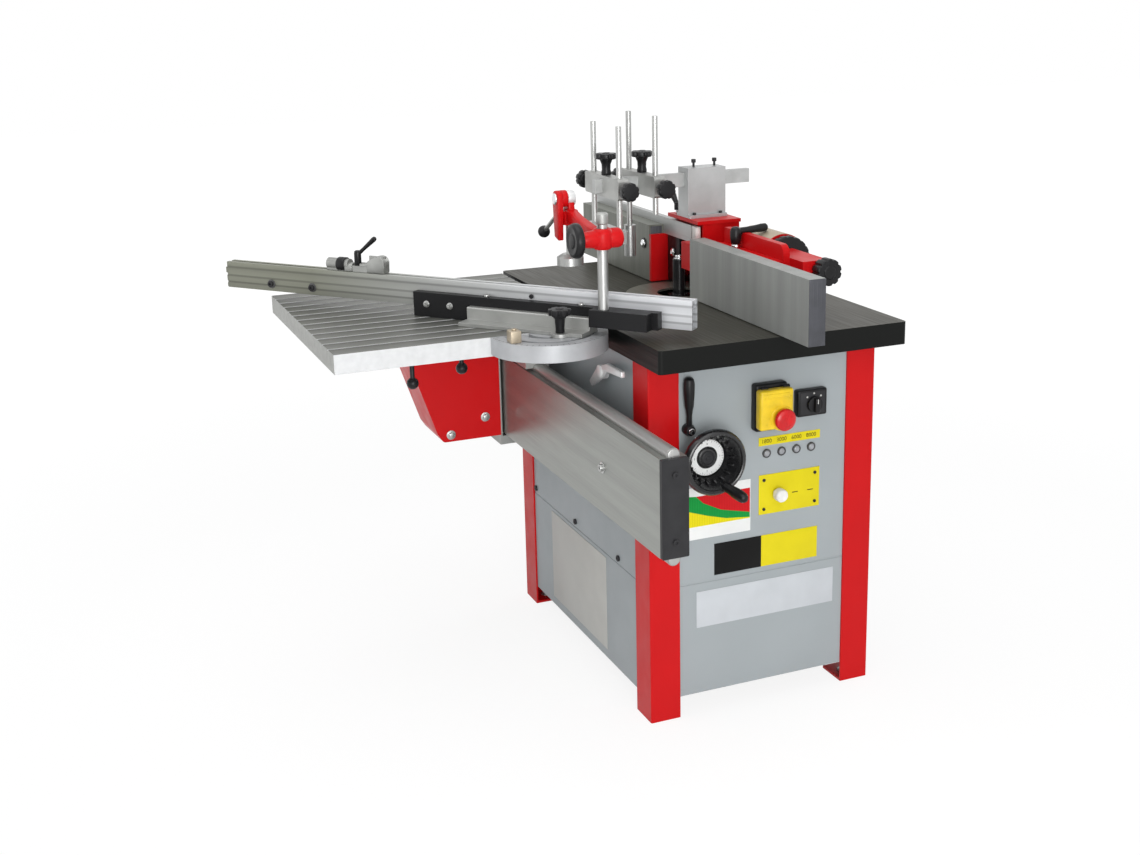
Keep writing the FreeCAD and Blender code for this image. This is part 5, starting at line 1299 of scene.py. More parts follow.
    def make_chart(self) -> None:
        """Make the bands of the speed chart."""
        low, high = self.chart_plate.low, self.chart_plate.high
        left = low[0] + self.chart_margin
        width = high[0] - low[0] - 2.0 * self.chart_margin
        height = high[1] - low[1]
        place = Axis.X.at(self.face + self.chart_plate.thick, 0.0, 0.0)
        for band in self.bands:
            outline = [(left + right * width, high[1] - down * height) for right, down in band.corners]
            shape = Shape().prism(tuple(outline[::-1]), place, self.print_thick, soft=0.0)
            self.piece(band.name, shape, band.finish, "stand", "grey_paint")

    def make_lamps(self) -> None:
        """Make the speed figures and the four lamps with their bezels."""
        figures, bezels, lenses = Shape(), Shape(), Shape()
        for text, across in zip(self.speeds, self.lamps_across):
            spot = Axis.X.at(self.face + self.strip_thick, across, self.speed_level)
            figures.figures(text, self.speed_height, spot)
            place = Axis.X.at(self.face, across, self.lamp_level)
            bezels.lathe(self.bezel, place, soft=0.3, sides=40)
            lenses.lathe(self.lens, place, soft=0.4, sides=40)
        self.piece("speed_figures", figures, Shop.CARD_BLACK, "stand", "black_plastic")
        self.piece("lamp_bezels", bezels, Shop.IRON, "stand", "steel", ("speed_lamps",))
        self.piece("lamp_lenses", lenses, Shop.LENS, "stand", "white_plastic")

    def make_switch(self) -> None:
        """Make the two cases, the hinged cover and the stop button."""
        cases = Shape().slab(self.switch_case, soft=6.0, steps=4)
        cases.slab(self.selector_case, soft=4.0, steps=3)
        self.piece("switch_cases", cases, Shop.KNOB, "stand", "black_plastic", ("control_boxes",))
        front = self.cover[1][0]
        cover = Shape().slab(self.cover, soft=6.0, steps=4)
        cover.lathe(self.cover_collar, Axis.X.at(front - self.collar_sunk, *self.button_axis), soft=0.5)
        cover.slab(self.cover_ridge, soft=1.6)
        self.piece("switch_cover", cover, Shop.YELLOW, "switch_cover", "yellow_plastic", ("switch_flap",))
        hinges = Shape()
        out, level = self.hinge_axis
        for across in self.hinges_across:
            place = Axis.Y.at(out, across - self.hinge_length / 2, level)
            hinges.drum(place, self.hinge_radius, self.hinge_length)
        self.piece("cover_hinges", hinges, Shop.KNOB, "switch_cover", "black_plastic")
        button = Shape().lathe(self.button, Axis.X.at(front, *self.button_axis), soft=0.5)
        self.piece("stop_button", button, Shop.MUSHROOM, "stop_button", "red_plastic", ("emergency_button",))

    def make_selector(self) -> None:
        """Make the selector's face, marks, knob and pointer."""
        face = Shape().slab(self.selector_face, soft=0.1)
        self.piece("selector_face", face, Shop.CAP, "stand", "black_plastic")
        out = self.selector_face[1][0]
        across, up = self.selector_axis
        marks = Shape()
        for degrees in self.mark_angles:
            angle = math.radians(degrees)
            right, rise = self.mark_ring * math.sin(angle), self.mark_ring * math.cos(angle)
            place = Axis.X.at(out, across + right, up + rise)
            marks.drum(place, self.mark_radius, self.print_thick, soft=0.0, sides=20)
        self.piece("selector_marks", marks, Shop.CARD_GREY, "stand", "black_plastic")
        place = Axis.X.at(out + self.selector_gap, across, up)
        knob = Shape().drum(place, radius=18.0, length=8.5, soft=1.4)
        knob.slab(self.selector_grip, soft=2.2, steps=3)
        self.piece("selector_grip", knob, Shop.KNOB, "selector", "black_plastic", ("selector_knob",))
        pointer = Shape().slab(self.selector_pointer, soft=0.0)
        self.piece("selector_pointer", pointer, Shop.WHITE, "selector", "white_plastic")

    def make_wheel(self) -> None:
        """Make the dished handwheel in one with its axle and bevel wheel, and its ribs."""
        place = Axis.X.at(0.0, *self.wheel_axis)
        wheel = Shape().lathe(self.wheel, place, soft=0.5, sides=96)
        stand_up = Matrix.Rotation(self.rib_lean, 4, "Z") @ Matrix.Rotation(self.rib_tilt, 4, "Y")
        rib = Axis.Z.at(*self.rib_place) @ stand_up @ Axis.Z.at(0.0, 0.0, -self.rib_sink)
        for number in range(self.ribs):
            turn = Matrix.Rotation(math.tau * number / self.ribs, 4, "Z")
            wheel.prism(self.rib, place @ turn @ rib, self.rib_rise, soft=1.2)
        self.piece("height_wheel", wheel, Shop.WHEEL, "handwheel", "black_plastic", ("handwheel",),
                   smooth=40.0)

    def make_dial(self) -> None:
        """Make the wheel's dial ring with its marks and figures, and the hub's cap."""
        place = Axis.X.at(0.0, *self.wheel_axis)
        dial = Shape().lathe(self.dial, place, soft=0.3, sides=72)
        self.piece("wheel_dial", dial, Shop.CARD_WHITE, "handwheel", "white_plastic")
        marks = Shape()
        rim, half = self.tick_rim, self.tick_half_width
        for number in range(self.ticks):
            turn = Matrix.Rotation(math.tau * number / self.ticks, 4, "Z")
            root = rim - (self.short_tick if number % self.long_every else self.long_tick)
            outline = ((root, -half), (rim, -half), (rim, half), (root, half))
            spot = place @ turn @ Axis.Z.at(0.0, 0.0, self.dial_level)
            marks.prism(outline, spot, self.tick_thick, soft=0.0)
        across, up = self.wheel_axis
        for number in range(self.dial_figures):
            angle = math.tau * number / self.dial_figures
            right, rise = self.figure_ring * math.sin(angle), self.figure_ring * math.cos(angle)
            spot = Axis.X.at(self.dial_level, across + right, up + rise)
            marks.figures(str(number), self.figure_height, spot)
        self.piece("dial_marks", marks, Shop.CARD_BLACK, "handwheel", "black_plastic")
        cap = Shape().lathe(self.hub_cap, place, soft=0.4)
        self.piece("wheel_cap", cap, Shop.CAP, "handwheel", "black_plastic")

    def make_grip(self) -> None:
        """Make the wheel's turning grip."""
        angle = math.radians(self.grip_angle)
        across, up = self.wheel_axis
        right, rise = self.grip_ring * math.cos(angle), self.grip_ring * math.sin(angle)
        grip = Shape().lathe(self.grip, Axis.X.at(0.0, across + right, up + rise), soft=0.5)
        self.piece("wheel_grip", grip, Shop.KNOB, "grip", "black_plastic", ("handwheel_grip",))

    def make_lever(self) -> None:
        """Make the height clamp lever and its nut."""
        lever = Shape().lathe(self.lever_hub, Axis.X.at(self.face, *self.lever_axis), soft=1.0)
        root = Axis.Z.at(self.face + self.lever_arm_out, *self.lever_axis)
        lever.lathe(self.lever_arm, root, soft=0.5, sides=40)
        self.piece("height_lever", lever, Shop.KNOB, "height_clamp", "black_plastic",
                   ("height_clamp_lever",))
        top = Axis.X.at(self.face + self.lever_top_out, *self.lever_axis)
        nut = Shape().screw(top, radius=7.0, rise=4.0, head=Head.HEXAGON)
        self.piece("height_lever_nut", nut, Shop.CHROME, "height_clamp", "steel")

    def make_lock(self) -> None:
        """Make the spindle lock knob, and the screws and marks of its plate."""
        knob = Shape().lathe(self.lock_knob, Axis.X.at(self.face, *self.lock_axis), soft=0.6)
        self.piece("lock_pull", knob, Shop.WHITE, "lock", "white_plastic", ("lock_knob",))
        out = self.face + self.lock_plate_out
        screws = Shape()
        for across in self.lock_screws_across:
            for up in self.lock_screws_up:
                screws.screw(Axis.X.at(out, across, up), radius=3.6, rise=2.0)
        self.piece("lock_plate_screws", screws, Shop.CAP, "stand", "black_plastic")
        dashes = Shape()
        wide, high = self.dash_half
        for across, up in self.lock_dashes:
            low = (out, across - wide, up - high)
            dashes.slab((low, (out + self.dash_thick, across + wide, up + high)), soft=0.0)
        self.piece("lock_plate_marks", dashes, Shop.CARD_BLACK, "stand", "black_plastic")


@dataclass
class Stand(Assembly):
    """Panel and foot fasteners, the bare front plate and the rear louvres."""

    front_plate: Box = ((-198.0, -269.0, 68.0), (144.0, -268.0, 294.0))
    panel_across: float = 268.0
    panel_end: float = -388.0
    front_screws: tuple[float, ...] = (-303.0, -38.0, 217.0)
    front_screw_level: float = 319.0
    rear_screws: tuple[float, ...] = (-300.0, 0.0, 300.0)
    end_screws: Flat = (-190.0, 190.0)
    screw_levels: Flat = (75.0, 780.0)
    louvre: Outline = ((0.0, 0.0), (0.0, 14.0), (5.0, 0.0))
    louvre_rows: int = 8
    louvre_level: float = 420.0
    louvre_pitch: float = 22.0
    louvre_start: float = -160.0
    louvre_length: float = 320.0
    feet_along: Flat = (-354.0, 354.0)
    feet_across: Flat = (-234.0, 234.0)
    foot_thick: float = 6.0

    def build(self) -> None:
        """Make the stand's small pieces."""
        plate = Shape().slab(self.front_plate, soft=0.35)
        self.piece("front_bare_plate", plate, Shop.CARD_GREY, "stand", "grey_paint")
        self.make_screws()
        louvres = Shape()
        for row in range(self.louvre_rows):
            level = self.louvre_level + self.louvre_pitch * row
            place = Axis.X.at(self.louvre_start, self.panel_across, level)
            louvres.prism(self.louvre, place, self.louvre_length, soft=0.8)
        self.piece("rear_louvres", louvres, Shop.GREY, "stand", "grey_paint")
        bolts = Shape()
        for along in self.feet_along:
            for across in self.feet_across:
                place = Axis.Z.at(along, across, self.foot_thick)
                bolts.screw(place, radius=9.5, rise=6.5, head=Head.HEXAGON, washer=14.0)
        self.piece("foot_bolts", bolts, Shop.STEEL, "stand", "steel")

    def make_screws(self) -> None:
        """Make the screws of the front, rear and far end panels."""
        screws = Shape()
        for along in self.front_screws:
            place = Axis.NEG_Y.at(along, -self.panel_across, self.front_screw_level)
            screws.screw(place, radius=7.0, rise=4.5)
        for along in self.rear_screws:
            for level in self.screw_levels:
                screws.screw(Axis.Y.at(along, self.panel_across, level), radius=6.0, rise=4.0)
        for across in self.end_screws:
            for level in self.screw_levels:
                screws.screw(Axis.NEG_X.at(self.panel_end, across, level), radius=6.0, rise=4.0)
        self.piece("panel_screws", screws, Shop.CAP, "stand", "black_plastic")


@dataclass
class SlidingTable(Assembly):
    """Bolts of the beam and gusset, hook lever, table knobs, and the mitre disc's stop and scale."""

    beam_bolts: Flat = (-359.0, 359.0)
    beam_face: float = -362.0
    beam_bolt_level: float = 587.5
    beam_middle: float = -333.5
    guide_levels: Flat = (693.0, 483.0)
    guide_end: float = 640.0
    guide_radius: float = 12.0
    guide_rise: float = 2.5
    cap_screw_levels: Flat = (520.0, 656.0)
    cap_face: float = 650.0
    gusset_face: float = -258.0
    gusset_bolts: Outline = ((-411.0, 538.0), (-499.0, 504.0))
    hook_axis: Flat = (185.0, 742.0)
    hook_foot: float = -268.0
    hook_arm_foot: float = -282.4
    hook_arm: Outline = ((-62.0, -34.1), (-49.6, -43.4), (16.0, -8.0), (37.2, 8.0), (118.0, 14.0),
                         (116.0, 27.0), (37.2, 27.2), (-16.0, 8.0))
    hook_arm_thick: float = 9.6
    hook_hub: Outline = ((0, 0), (7.0, 0), (7.0, 8.0), (16.0, 8.0), (16.0, 25.5), (9.0, 27.0), (0, 27.0))
    disc_stop: Box = ((250.0, -523.0, 850.0), (278.0, -500.0, 875.0))
    disc_stop_screw: Point = (264.0, -511.5, 875.0)
    ball: Outline = ((0, -13.0), (6.5, -11.3), (11.3, -6.5), (13.0, 0.0), (11.3, 6.5), (6.5, 11.3),
                     (5.0, 12.0))
    ball_stem: float = 5.0
    balls: Outline = ((-575.0, 45.0), (-684.0, 65.0))
    balls_along: float = 100.0
    cross_table_foot: float = 809.0
    scale_marks: int = 31
    scale_start: float = -90.0
    scale_step: float = 6.0
    scale_rim: float = 123.0
    scale_half_width: float = 0.45
    scale_thick: float = 0.15
    long_mark: float = 13.0
    short_mark: float = 7.0
    long_every: int = 5

    def build(self) -> None:
        """Make the small pieces of the sliding table."""
        self.make_beam()
        gusset = Shape()
        for across, up in self.gusset_bolts:
            place = Axis.X.at(self.gusset_face, across, up)
            gusset.screw(place, radius=7.5, rise=5.5, head=Head.HEXAGON, washer=11.5)
        self.piece("gusset_bolts", gusset, Shop.STEEL, "carriage", "steel")
        self.make_hook()
        stop = Shape().slab(self.disc_stop, soft=2.0)
        stop.screw(Axis.Z.at(*self.disc_stop_screw), radius=5.0, rise=3.5)
        self.piece("disc_stop", stop, Shop.SLEEVE, "carriage", "aluminium")
        balls = Shape()
        for across, drop in self.balls:
            profile = (*self.ball, (self.ball_stem, drop), (0, drop))
            balls.lathe(profile, Axis.Z.at(self.balls_along, across, self.cross_table_foot - drop), soft=0.3)
        self.piece("table_balls", balls, Shop.KNOB, "carriage", "black_plastic", ("ball_knobs",))
        self.make_scale()

    def make_beam(self) -> None:
        """Make the beam's bolts, the bright ends of its guides and the screws of its end caps."""
        bolts = Shape()
        for along in self.beam_bolts:
            place = Axis.NEG_Y.at(along, self.beam_face, self.beam_bolt_level)
            bolts.screw(place, radius=8.0, rise=6.0, washer=12.5)
        self.piece("beam_bolts", bolts, Shop.STEEL, "stand", "steel")
        ends = Shape()
        for level in self.guide_levels:
            for along in (self.guide_end, -self.guide_end - self.guide_rise):
                place = Axis.X.at(along, self.beam_middle, level)
                ends.drum(place, self.guide_radius, self.guide_rise, soft=1.0)
        self.piece("guide_ends", ends, Shop.STEEL, "stand", "steel")
        screws = Shape()
        for level in self.cap_screw_levels:
            screws.screw(Axis.X.at(self.cap_face, self.beam_middle, level), radius=6.5, rise=3.5)
            screws.screw(Axis.NEG_X.at(-self.cap_face, self.beam_middle, level), radius=6.5, rise=3.5)
        self.piece("cap_screws", screws, Shop.CAP, "stand", "black_plastic")

    def make_hook(self) -> None:
        """Make the carriage's hook lever."""
        along, up = self.hook_axis
        place = Axis.NEG_Y.at(along, self.hook_arm_foot, up)
        hook = Shape().prism(self.hook_arm, place, self.hook_arm_thick, soft=2.2)
        hook.lathe(self.hook_hub, Axis.NEG_Y.at(along, self.hook_foot, up))
        self.piece("hook_lever", hook, Shop.HOOK, "hook", "steel", ("carriage_hook",))

    def make_scale(self) -> None:
        """Make the marks of the mitre disc's scale."""
        scale = Shape()
        rim, half = self.scale_rim, self.scale_half_width
        pivot = Axis.Z.at(*MITRE_PIVOT, TABLE_TOP)
        for number in range(self.scale_marks):
            angle = self.scale_start + self.scale_step * number
            root = rim - (self.short_mark if number % self.long_every else self.long_mark)
            outline = ((root, -half), (rim, -half), (rim, half), (root, half))
            place = pivot @ Matrix.Rotation(math.radians(angle), 4, "Z")
            scale.prism(outline, place, self.scale_thick, soft=0.0)
        self.piece("mitre_scale", scale, Shop.CARD_BLACK, "carriage", "black_paint")


@dataclass
class MitreFence(Assembly):
    """Bolts, knob, end and flip stop of the mitre fence, drawn in its turned frame from the pivot."""

    knob_angle: float = -32.5
    knob_ring: float = 50.0
    knob_stem: Outline = ((0, -23.7), (7.9, -23.7), (7.9, 8.7), (9.5, 8.7), (9.5, 20.0), (11.0, 38.0),
                          (15.0, 42.7), (17.0, 46.0), (0, 46.0))
    knob_head_level: float = 895.3
    knob_cap: Outline = ((0, 0), (9.0, 0), (8.0, 1.2), (0, 1.6))
    knob_cap_level: float = 908.6

    fence_face: float = 46.0
    fence_bolts: Flat = (-759.0, -642.0)
    fence_bolt_level: float = 887.0
    fence_screw: Flat = (-64.0, 912.0)
    washer: Outline = ((0, 0), (10.5, 0), (10.5, 1.2), (0, 1.2))
    washer_thick: float = 1.2
    holder_face: float = 26.0
    holder_bolts: tuple[float, ...] = (-318.0, -258.0, 157.0)
    holder_bolt_level: float = 879.0
    holder_screws: Flat = (-170.0, 60.0)
    holder_middle: float = 36.0
    holder_top: float = 904.4

    end_along: float = -888.0
    end_across: Flat = (46.5, 73.5)
    end_ribs: tuple[Point, ...] = ((871.0, 881.0, 3.0), (885.0, 899.0, 3.0), (904.0, 918.0, 5.0))

    stop_across: float = 60.0
    stop_level: float = 945.3
    collar: Outline = ((13.1, 0), (16.0, 0), (16.0, 21.0), (13.1, 21.0), (13.1, 0))
    collar_along: float = -572.0
    saddle: Outline = ((47.0, 931.6), (73.0, 931.6), (73.0, 943.0), (69.0, 949.0), (60.0, 951.5),
                       (51.0, 949.0), (47.0, 943.0))
    saddle_along: float = -550.0
    saddle_length: float = 20.0
    bridge: Outline = ((49.0, 945.0), (71.0, 945.0), (69.0, 951.0), (60.0, 953.0), (51.0, 951.0))
    bridge_along: float = -510.0
    bridge_length: float = 22.0
    flag: Outline = ((-489.0, 931.6), (-443.0, 931.6), (-442.0, 957.0), (-444.5, 964.0), (-450.0, 969.0),
                     (-457.0, 970.5), (-466.0, 969.5), (-478.0, 963.5), (-489.0, 956.0))
    flag_across: float = 73.0
    flag_thick: float = 26.0
    lever_along: float = -520.0
    lever_hub: Outline = ((0, -13.5), (3.9, -13.5), (3.9, 0.3), (8.0, 0.3), (8.0, 26.0), (7.2, 32.0),
                          (4.0, 34.0), (0, 34.2))
    lever_root: Point = (-518.0, 60.0, 971.0)
    lever_lean: float = 51.0
    lever_arm: Outline = ((0, 0), (4.6, 0), (4.2, 20.0), (5.2, 44.0), (5.8, 56.0), (5.2, 61.0), (3.0, 63.5),
                          (0, 64.0))

    @staticmethod
    def at(along: float, across: float, up: float, axis: Axis) -> Matrix:
        """Find a place in the fence's turned frame.

        Args:
            along: Distance from the pivot along the fence.
            across: Distance from the pivot across the fence.
            up: Height above the floor.
            axis: Direction to face, in the turned frame.

        Returns:
            The matrix from a piece's own frame to the machine's.
        """
        turned = Axis.Z.at(*MITRE_PIVOT, 0.0) @ Matrix.Rotation(math.radians(MITRE_TURN), 4, "Z")
        return turned @ axis.at(along, across, up)

    def build(self) -> None:
        """Make the fence's knob, bolts, end and stop."""
        self.make_knob()
        self.make_bolts()
        self.make_end()
        self.make_stop()
        self.make_lever()

    def make_knob(self) -> None:
        """Make the star knob that clamps the carrier in the disc's curved slot."""
        angle = math.radians(self.knob_angle)
        along, across = self.knob_ring * math.cos(angle), self.knob_ring * math.sin(angle)
        knob = Shape().lathe(self.knob_stem, self.at(along, across, TABLE_TOP, Axis.Z), soft=0.5, sides=48)
        place = self.at(along, across, self.knob_head_level, Axis.Z)
        knob.lobed(place, radius=24.0, thick=13.4, lobes=6, bite=0.2, soft=3.0)
        self.piece("mitre_star", knob, Shop.KNOB, "mitre_knob", "black_plastic", ("mitre_knob",))
        place = self.at(along, across, self.knob_cap_level, Axis.Z)
        cap = Shape().lathe(self.knob_cap, place, soft=0.3, sides=40)
        self.piece("mitre_star_cap", cap, Shop.CAP, "mitre_knob", "black_plastic")

    def make_bolts(self) -> None:
        """Make the bolts and washers of the fence, and the screws of its holder."""
        fence, washers, holder = Shape(), Shape(), Shape()
        for along in self.fence_bolts:
            head = self.at(along, self.fence_face - self.washer_thick, self.fence_bolt_level, Axis.NEG_Y)
            fence.screw(head, radius=7.0, rise=6.0)
            foot = self.at(along, self.fence_face, self.fence_bolt_level, Axis.NEG_Y)
            washers.lathe(self.washer, foot, soft=0.3, sides=40)
        along, up = self.fence_screw
        fence.screw(self.at(along, self.fence_face, up, Axis.NEG_Y), radius=5.0, rise=3.5)
        self.piece("fence_bolts", fence, Shop.CAP, "mitre_fence", "black_plastic")
        self.piece("fence_washers", washers, Shop.IRON, "mitre_fence", "steel")
        for along in self.holder_bolts:
            place = self.at(along, self.holder_face, self.holder_bolt_level, Axis.NEG_Y)
            holder.screw(place, radius=6.0, rise=4.0, washer=7.5)
        for along in self.holder_screws:
            holder.screw(self.at(along, self.holder_middle, self.holder_top, Axis.Z), radius=6.0, rise=5.0)
        self.piece("holder_screws", holder, Shop.STEEL, "mitre", "steel")

    def make_end(self) -> None:
        """Make the fence's ribbed end."""
        end = Shape()
        near, far = self.end_across
        for low, high, reach in self.end_ribs:
            outline = ((near, low), (far, low), (far, high), (near, high))
            end.prism(outline, self.at(self.end_along - reach, 0.0, 0.0, Axis.X), reach, soft=1.4)
        self.piece("fence_end", end, Shop.FENCE, "mitre_fence", "aluminium")

    def make_stop(self) -> None:
        """Make the flip stop's collar, and its casting with saddle, bridge and flag."""
        place = self.at(self.collar_along, self.stop_across, self.stop_level, Axis.X)
        collar = Shape().lathe(self.collar, place, soft=1.2, sides=48)
        self.piece("stop_collar", collar, Shop.KNOB, "flip_stop", "black_plastic")
        place = self.at(self.saddle_along, 0.0, 0.0, Axis.X)
        casting = Shape().prism(self.saddle, place, self.saddle_length, soft=2.0)
        place = self.at(self.bridge_along, 0.0, 0.0, Axis.X)
        casting.prism(self.bridge, place, self.bridge_length, soft=1.5)
        casting.prism(self.flag, self.at(0.0, self.flag_across, 0.0, Axis.NEG_Y), self.flag_thick, soft=3.0)
        self.piece("stop_casting", casting, Shop.STOP, "flip_stop", "aluminium")

    def make_lever(self) -> None:
        """Make the flip stop's clamp lever."""
        hub = self.at(self.lever_along, self.stop_across, self.stop_level, Axis.Z)
        lever = Shape().lathe(self.lever_hub, hub, soft=0.6, sides=40)
        lean = Matrix.Rotation(math.radians(self.lever_lean), 4, "Y")
        lever.lathe(self.lever_arm, self.at(*self.lever_root, Axis.Z) @ lean, soft=0.4, sides=32)
        self.piece("stop_handle", lever, Shop.KNOB, "stop_lever", "black_plastic", ("stop_lever",))


@dataclass
class HoldDown(Assembly):
    """Cast arm, hand knob and eccentric lever of the hold-down clamp."""

    post: Flat = (290.26, -323.9)
    pin: Flat = (109.26, 1112.0)
    arm_foot: float = 1030.0
    arm_middle: float = 1052.0
    boss: Outline = ((11.3, 1.0), (16.0, 0), (20.5, 5.0), (22.5, 13.0), (22.5, 31.0), (20.5, 39.0),
                     (16.0, 44.0), (11.3, 43.0), (11.3, 1.0))
    heel: Outline = ((0, 12.0), (20.5, 12.0), (20.5, 34.0), (18.5, 40.0), (13.0, 43.5), (0, 44.0))
    lug: Outline = ((6.3, 12.0), (19.5, 12.0), (17.0, 34.0), (15.0, 46.0), (6.3, 46.0), (6.3, 12.0))
    web: Outline = ((-172.0, 1061.0), (-120.0, 1050.0), (-60.0, 1042.5), (-12.3, 1040.0), (-12.3, 1067.0),
                    (-60.0, 1071.0), (-120.0, 1079.0), (-172.0, 1092.0))
    web_thick: float = 24.0
    tip: Outline = ((8.4, 0), (19.0, 0), (19.0, 30.0), (0, 30.0), (0, 26.0), (8.6, 26.0), (8.6, 0))
    tip_foot: float = 1056.0
    ear_foot: Outline = ((-19.0, -28.0), (19.0, -28.0))
    ear_radius: float = 13.0
    ear_steps: int = 8
    ear_thick: float = 14.0
    pin_start: float = -6.8
    pin_radius: float = 6.0
    pin_length: float = 24.2
    roller: Outline = ((13.2, 0), (16.5, 0), (16.5, 17.0), (13.2, 17.0), (13.2, 0))
    roller_start: float = 10.4
    pillar_cap: Outline = ((0, 0), (11.0, 0), (12.5, 1.5), (12.5, 20.0), (10.5, 23.0), (0, 23.5))
    pillar_cap_foot: float = 1082.2
    knob: Outline = ((0, 11.6), (5.5, 11.6), (5.5, 47.0), (12.0, 47.0), (13.0, 48.6), (31.0, 49.4),
                     (35.0, 51.5), (36.0, 55.0), (36.0, 61.0), (34.0, 65.5), (29.0, 68.0), (22.0, 67.0),
                     (16.0, 66.2), (14.0, 68.0), (0, 68.3))

    cam_plate: Outline = ((-18.0, 0.0), (-16.6, 6.9), (-12.7, 12.7), (-6.9, 16.6), (0.0, 18.0), (6.9, 16.6),
                          (12.7, 12.7), (16.6, 6.9), (18.0, 0.0), (14.0, -88.0), (-10.0, -82.0))
    cam_plate_across: float = -343.2
    cam_thick: float = 12.0
    cam_hub: Outline = ((6.05, 0), (18.0, 0), (18.0, 12.0), (6.05, 12.0), (6.05, 0))
    cam_hub_across: float = -331.2
    cam_disc: Outline = ((0, 0), (12.5, 0), (12.5, 2.0), (9.5, 3.6), (0, 4.2))
    cam_disc_across: float = -355.2
    rod_root: Point = (99.0, -349.2, 1075.0)
    rod_tip: Point = (20.3, -349.2, 1029.0)
    rod_radius: float = 4.5
    rod_sunk: float = 6.0
    ball: Outline = ((0, -13.5), (6.5, -13.5), (7.5, -11.0), (11.4, -7.3), (13.1, -2.7), (13.5, 0.0),
                     (13.1, 3.5), (11.4, 7.3), (7.5, 11.2), (3.5, 13.0), (0, 13.5))

    def build(self) -> None:
        """Make the clamp's arm, hand knob and lever."""
        self.make_arm()
        self.make_knob()
        self.make_lever()

    def make_arm(self) -> None:
        """Make the cast arm with boss, heel, lug, web, tip, ear and pin, its roller and the pillar's cap."""
        post, across = self.post
        along, up = self.pin
        arm = Shape().lathe(self.boss, Axis.Z.at(post, across, self.arm_foot), soft=1.5)
        arm.lathe(self.heel, Axis.Y.at(post, across, self.arm_middle), soft=1.5)
        arm.lathe(self.lug, Axis.NEG_Y.at(post, across, self.arm_middle), soft=1.5)
        arm.prism(self.web, Axis.NEG_Y.at(post, across + self.web_thick / 2, 0.0), self.web_thick, soft=5.0)
        arm.lathe(self.tip, Axis.Z.at(along, across, self.tip_foot), soft=1.0)
        angles = [step * math.pi / self.ear_steps for step in range(self.ear_steps + 1)]
        ear = [(self.ear_radius * math.cos(angle), self.ear_radius * math.sin(angle)) for angle in angles]
        place = Axis.NEG_Y.at(along, across + self.ear_thick / 2, up)
        arm.prism((*self.ear_foot, *ear), place, self.ear_thick, soft=2.5)
        arm.drum(Axis.NEG_Y.at(along, across + self.pin_start, up), self.pin_radius, self.pin_length)
        self.piece("clamp_casting", arm, Shop.RED, "clamp_arm", "red_paint", ("clamp_arm",))
        roller = Shape().lathe(self.roller, Axis.NEG_Y.at(along, across + self.roller_start, up), soft=1.5)
        self.piece("cam_roller", roller, Shop.HOOK, "clamp_arm", "steel")
        cap = Shape().lathe(self.pillar_cap, Axis.Z.at(post, across, self.pillar_cap_foot), soft=0.5)
        self.piece("pillar_cap", cap, Shop.CASTING, "mitre", "steel")

    def make_knob(self) -> None:
        """Make the round knob that clamps the arm on its pillar."""
        post, across = self.post
        knob = Shape().lathe(self.knob, Axis.NEG_Y.at(post, across, self.arm_middle), soft=0.6, sides=72)
        self.piece("clamp_wheel", knob, Shop.KNOB, "clamp_knob", "black_plastic", ("clamp_knob",))

    def make_lever(self) -> None:
        """Make the lever's plate, pivot disc, rod and ball."""
        along, up = self.pin
        place = Axis.NEG_Y.at(along, self.cam_plate_across, up)
        plate = Shape().prism(self.cam_plate, place, self.cam_thick, soft=1.6)
        plate.lathe(self.cam_hub, Axis.NEG_Y.at(along, self.cam_hub_across, up))
        self.piece("cam_plate", plate, Shop.RED, "clamp_lever", "red_paint", ("clamp_cam_lever",))
        disc = Shape().lathe(self.cam_disc, Axis.NEG_Y.at(along, self.cam_disc_across, up), soft=0.4)
        self.piece("cam_pivot_disc", disc, Shop.CHROME, "clamp_lever", "steel")
        run = Vector(self.rod_tip) - Vector(self.rod_root)
        place = Axis.Z.at(*self.rod_root) @ run.to_track_quat("Z", "Y").to_matrix().to_4x4()
        radius, sunk, long = self.rod_radius, self.rod_sunk, run.length
        profile = ((0, -sunk), (radius, -sunk), (radius, long), (0, long))
        rod = Shape().lathe(profile, place, soft=0.4, sides=32)
        self.piece("cam_rod", rod, Shop.STEEL, "clamp_lever", "steel")
        profile = tuple((wide, long + rise) for wide, rise in self.ball)
        ball = Shape().lathe(profile, place, soft=0.3, sides=40)
        self.piece("cam_ball", ball, Shop.KNOB, "clamp_lever", "black_plastic")


@dataclass(frozen=True)
class EndForm:
    """Form of a fence plate's ribbed end piece: its corners across and up, and its upright ribs."""

    thick: float
    low: Flat
    high: Flat
    soft: float
    ribs: tuple[float, ...]
    rib_half: float
    rib_rise: float
    rib_inset: float
    rib_soft: float = 0.1

    def shape(self, start: float) -> Shape:
        """Make the end piece's mesh.

        Args:
            start: Its near face along the fence.

        Returns:
            The mesh.
        """
        end = start + self.thick
        shape = Shape().slab(((start, *self.low), (end, *self.high)), self.soft)
        foot, top = self.low[1] + self.rib_inset, self.high[1] - self.rib_inset
        for across in self.ribs:
            near = (start - self.rib_rise, across - self.rib_half, foot)
            far = (end + self.rib_rise, across + self.rib_half, top)
            shape.slab((near, far), self.rib_soft)
        return shape


@dataclass(frozen=True)
class EndSpec:
    """One end piece of a fence plate: the body that it moves with and where it starts along the fence."""

    name: str
    body: str
    start: float


@dataclass(frozen=True)
class BoltSpec:
    """One button bolt of the fence: its place and the body that it moves with."""

    name: str
    place: Point
    body: str


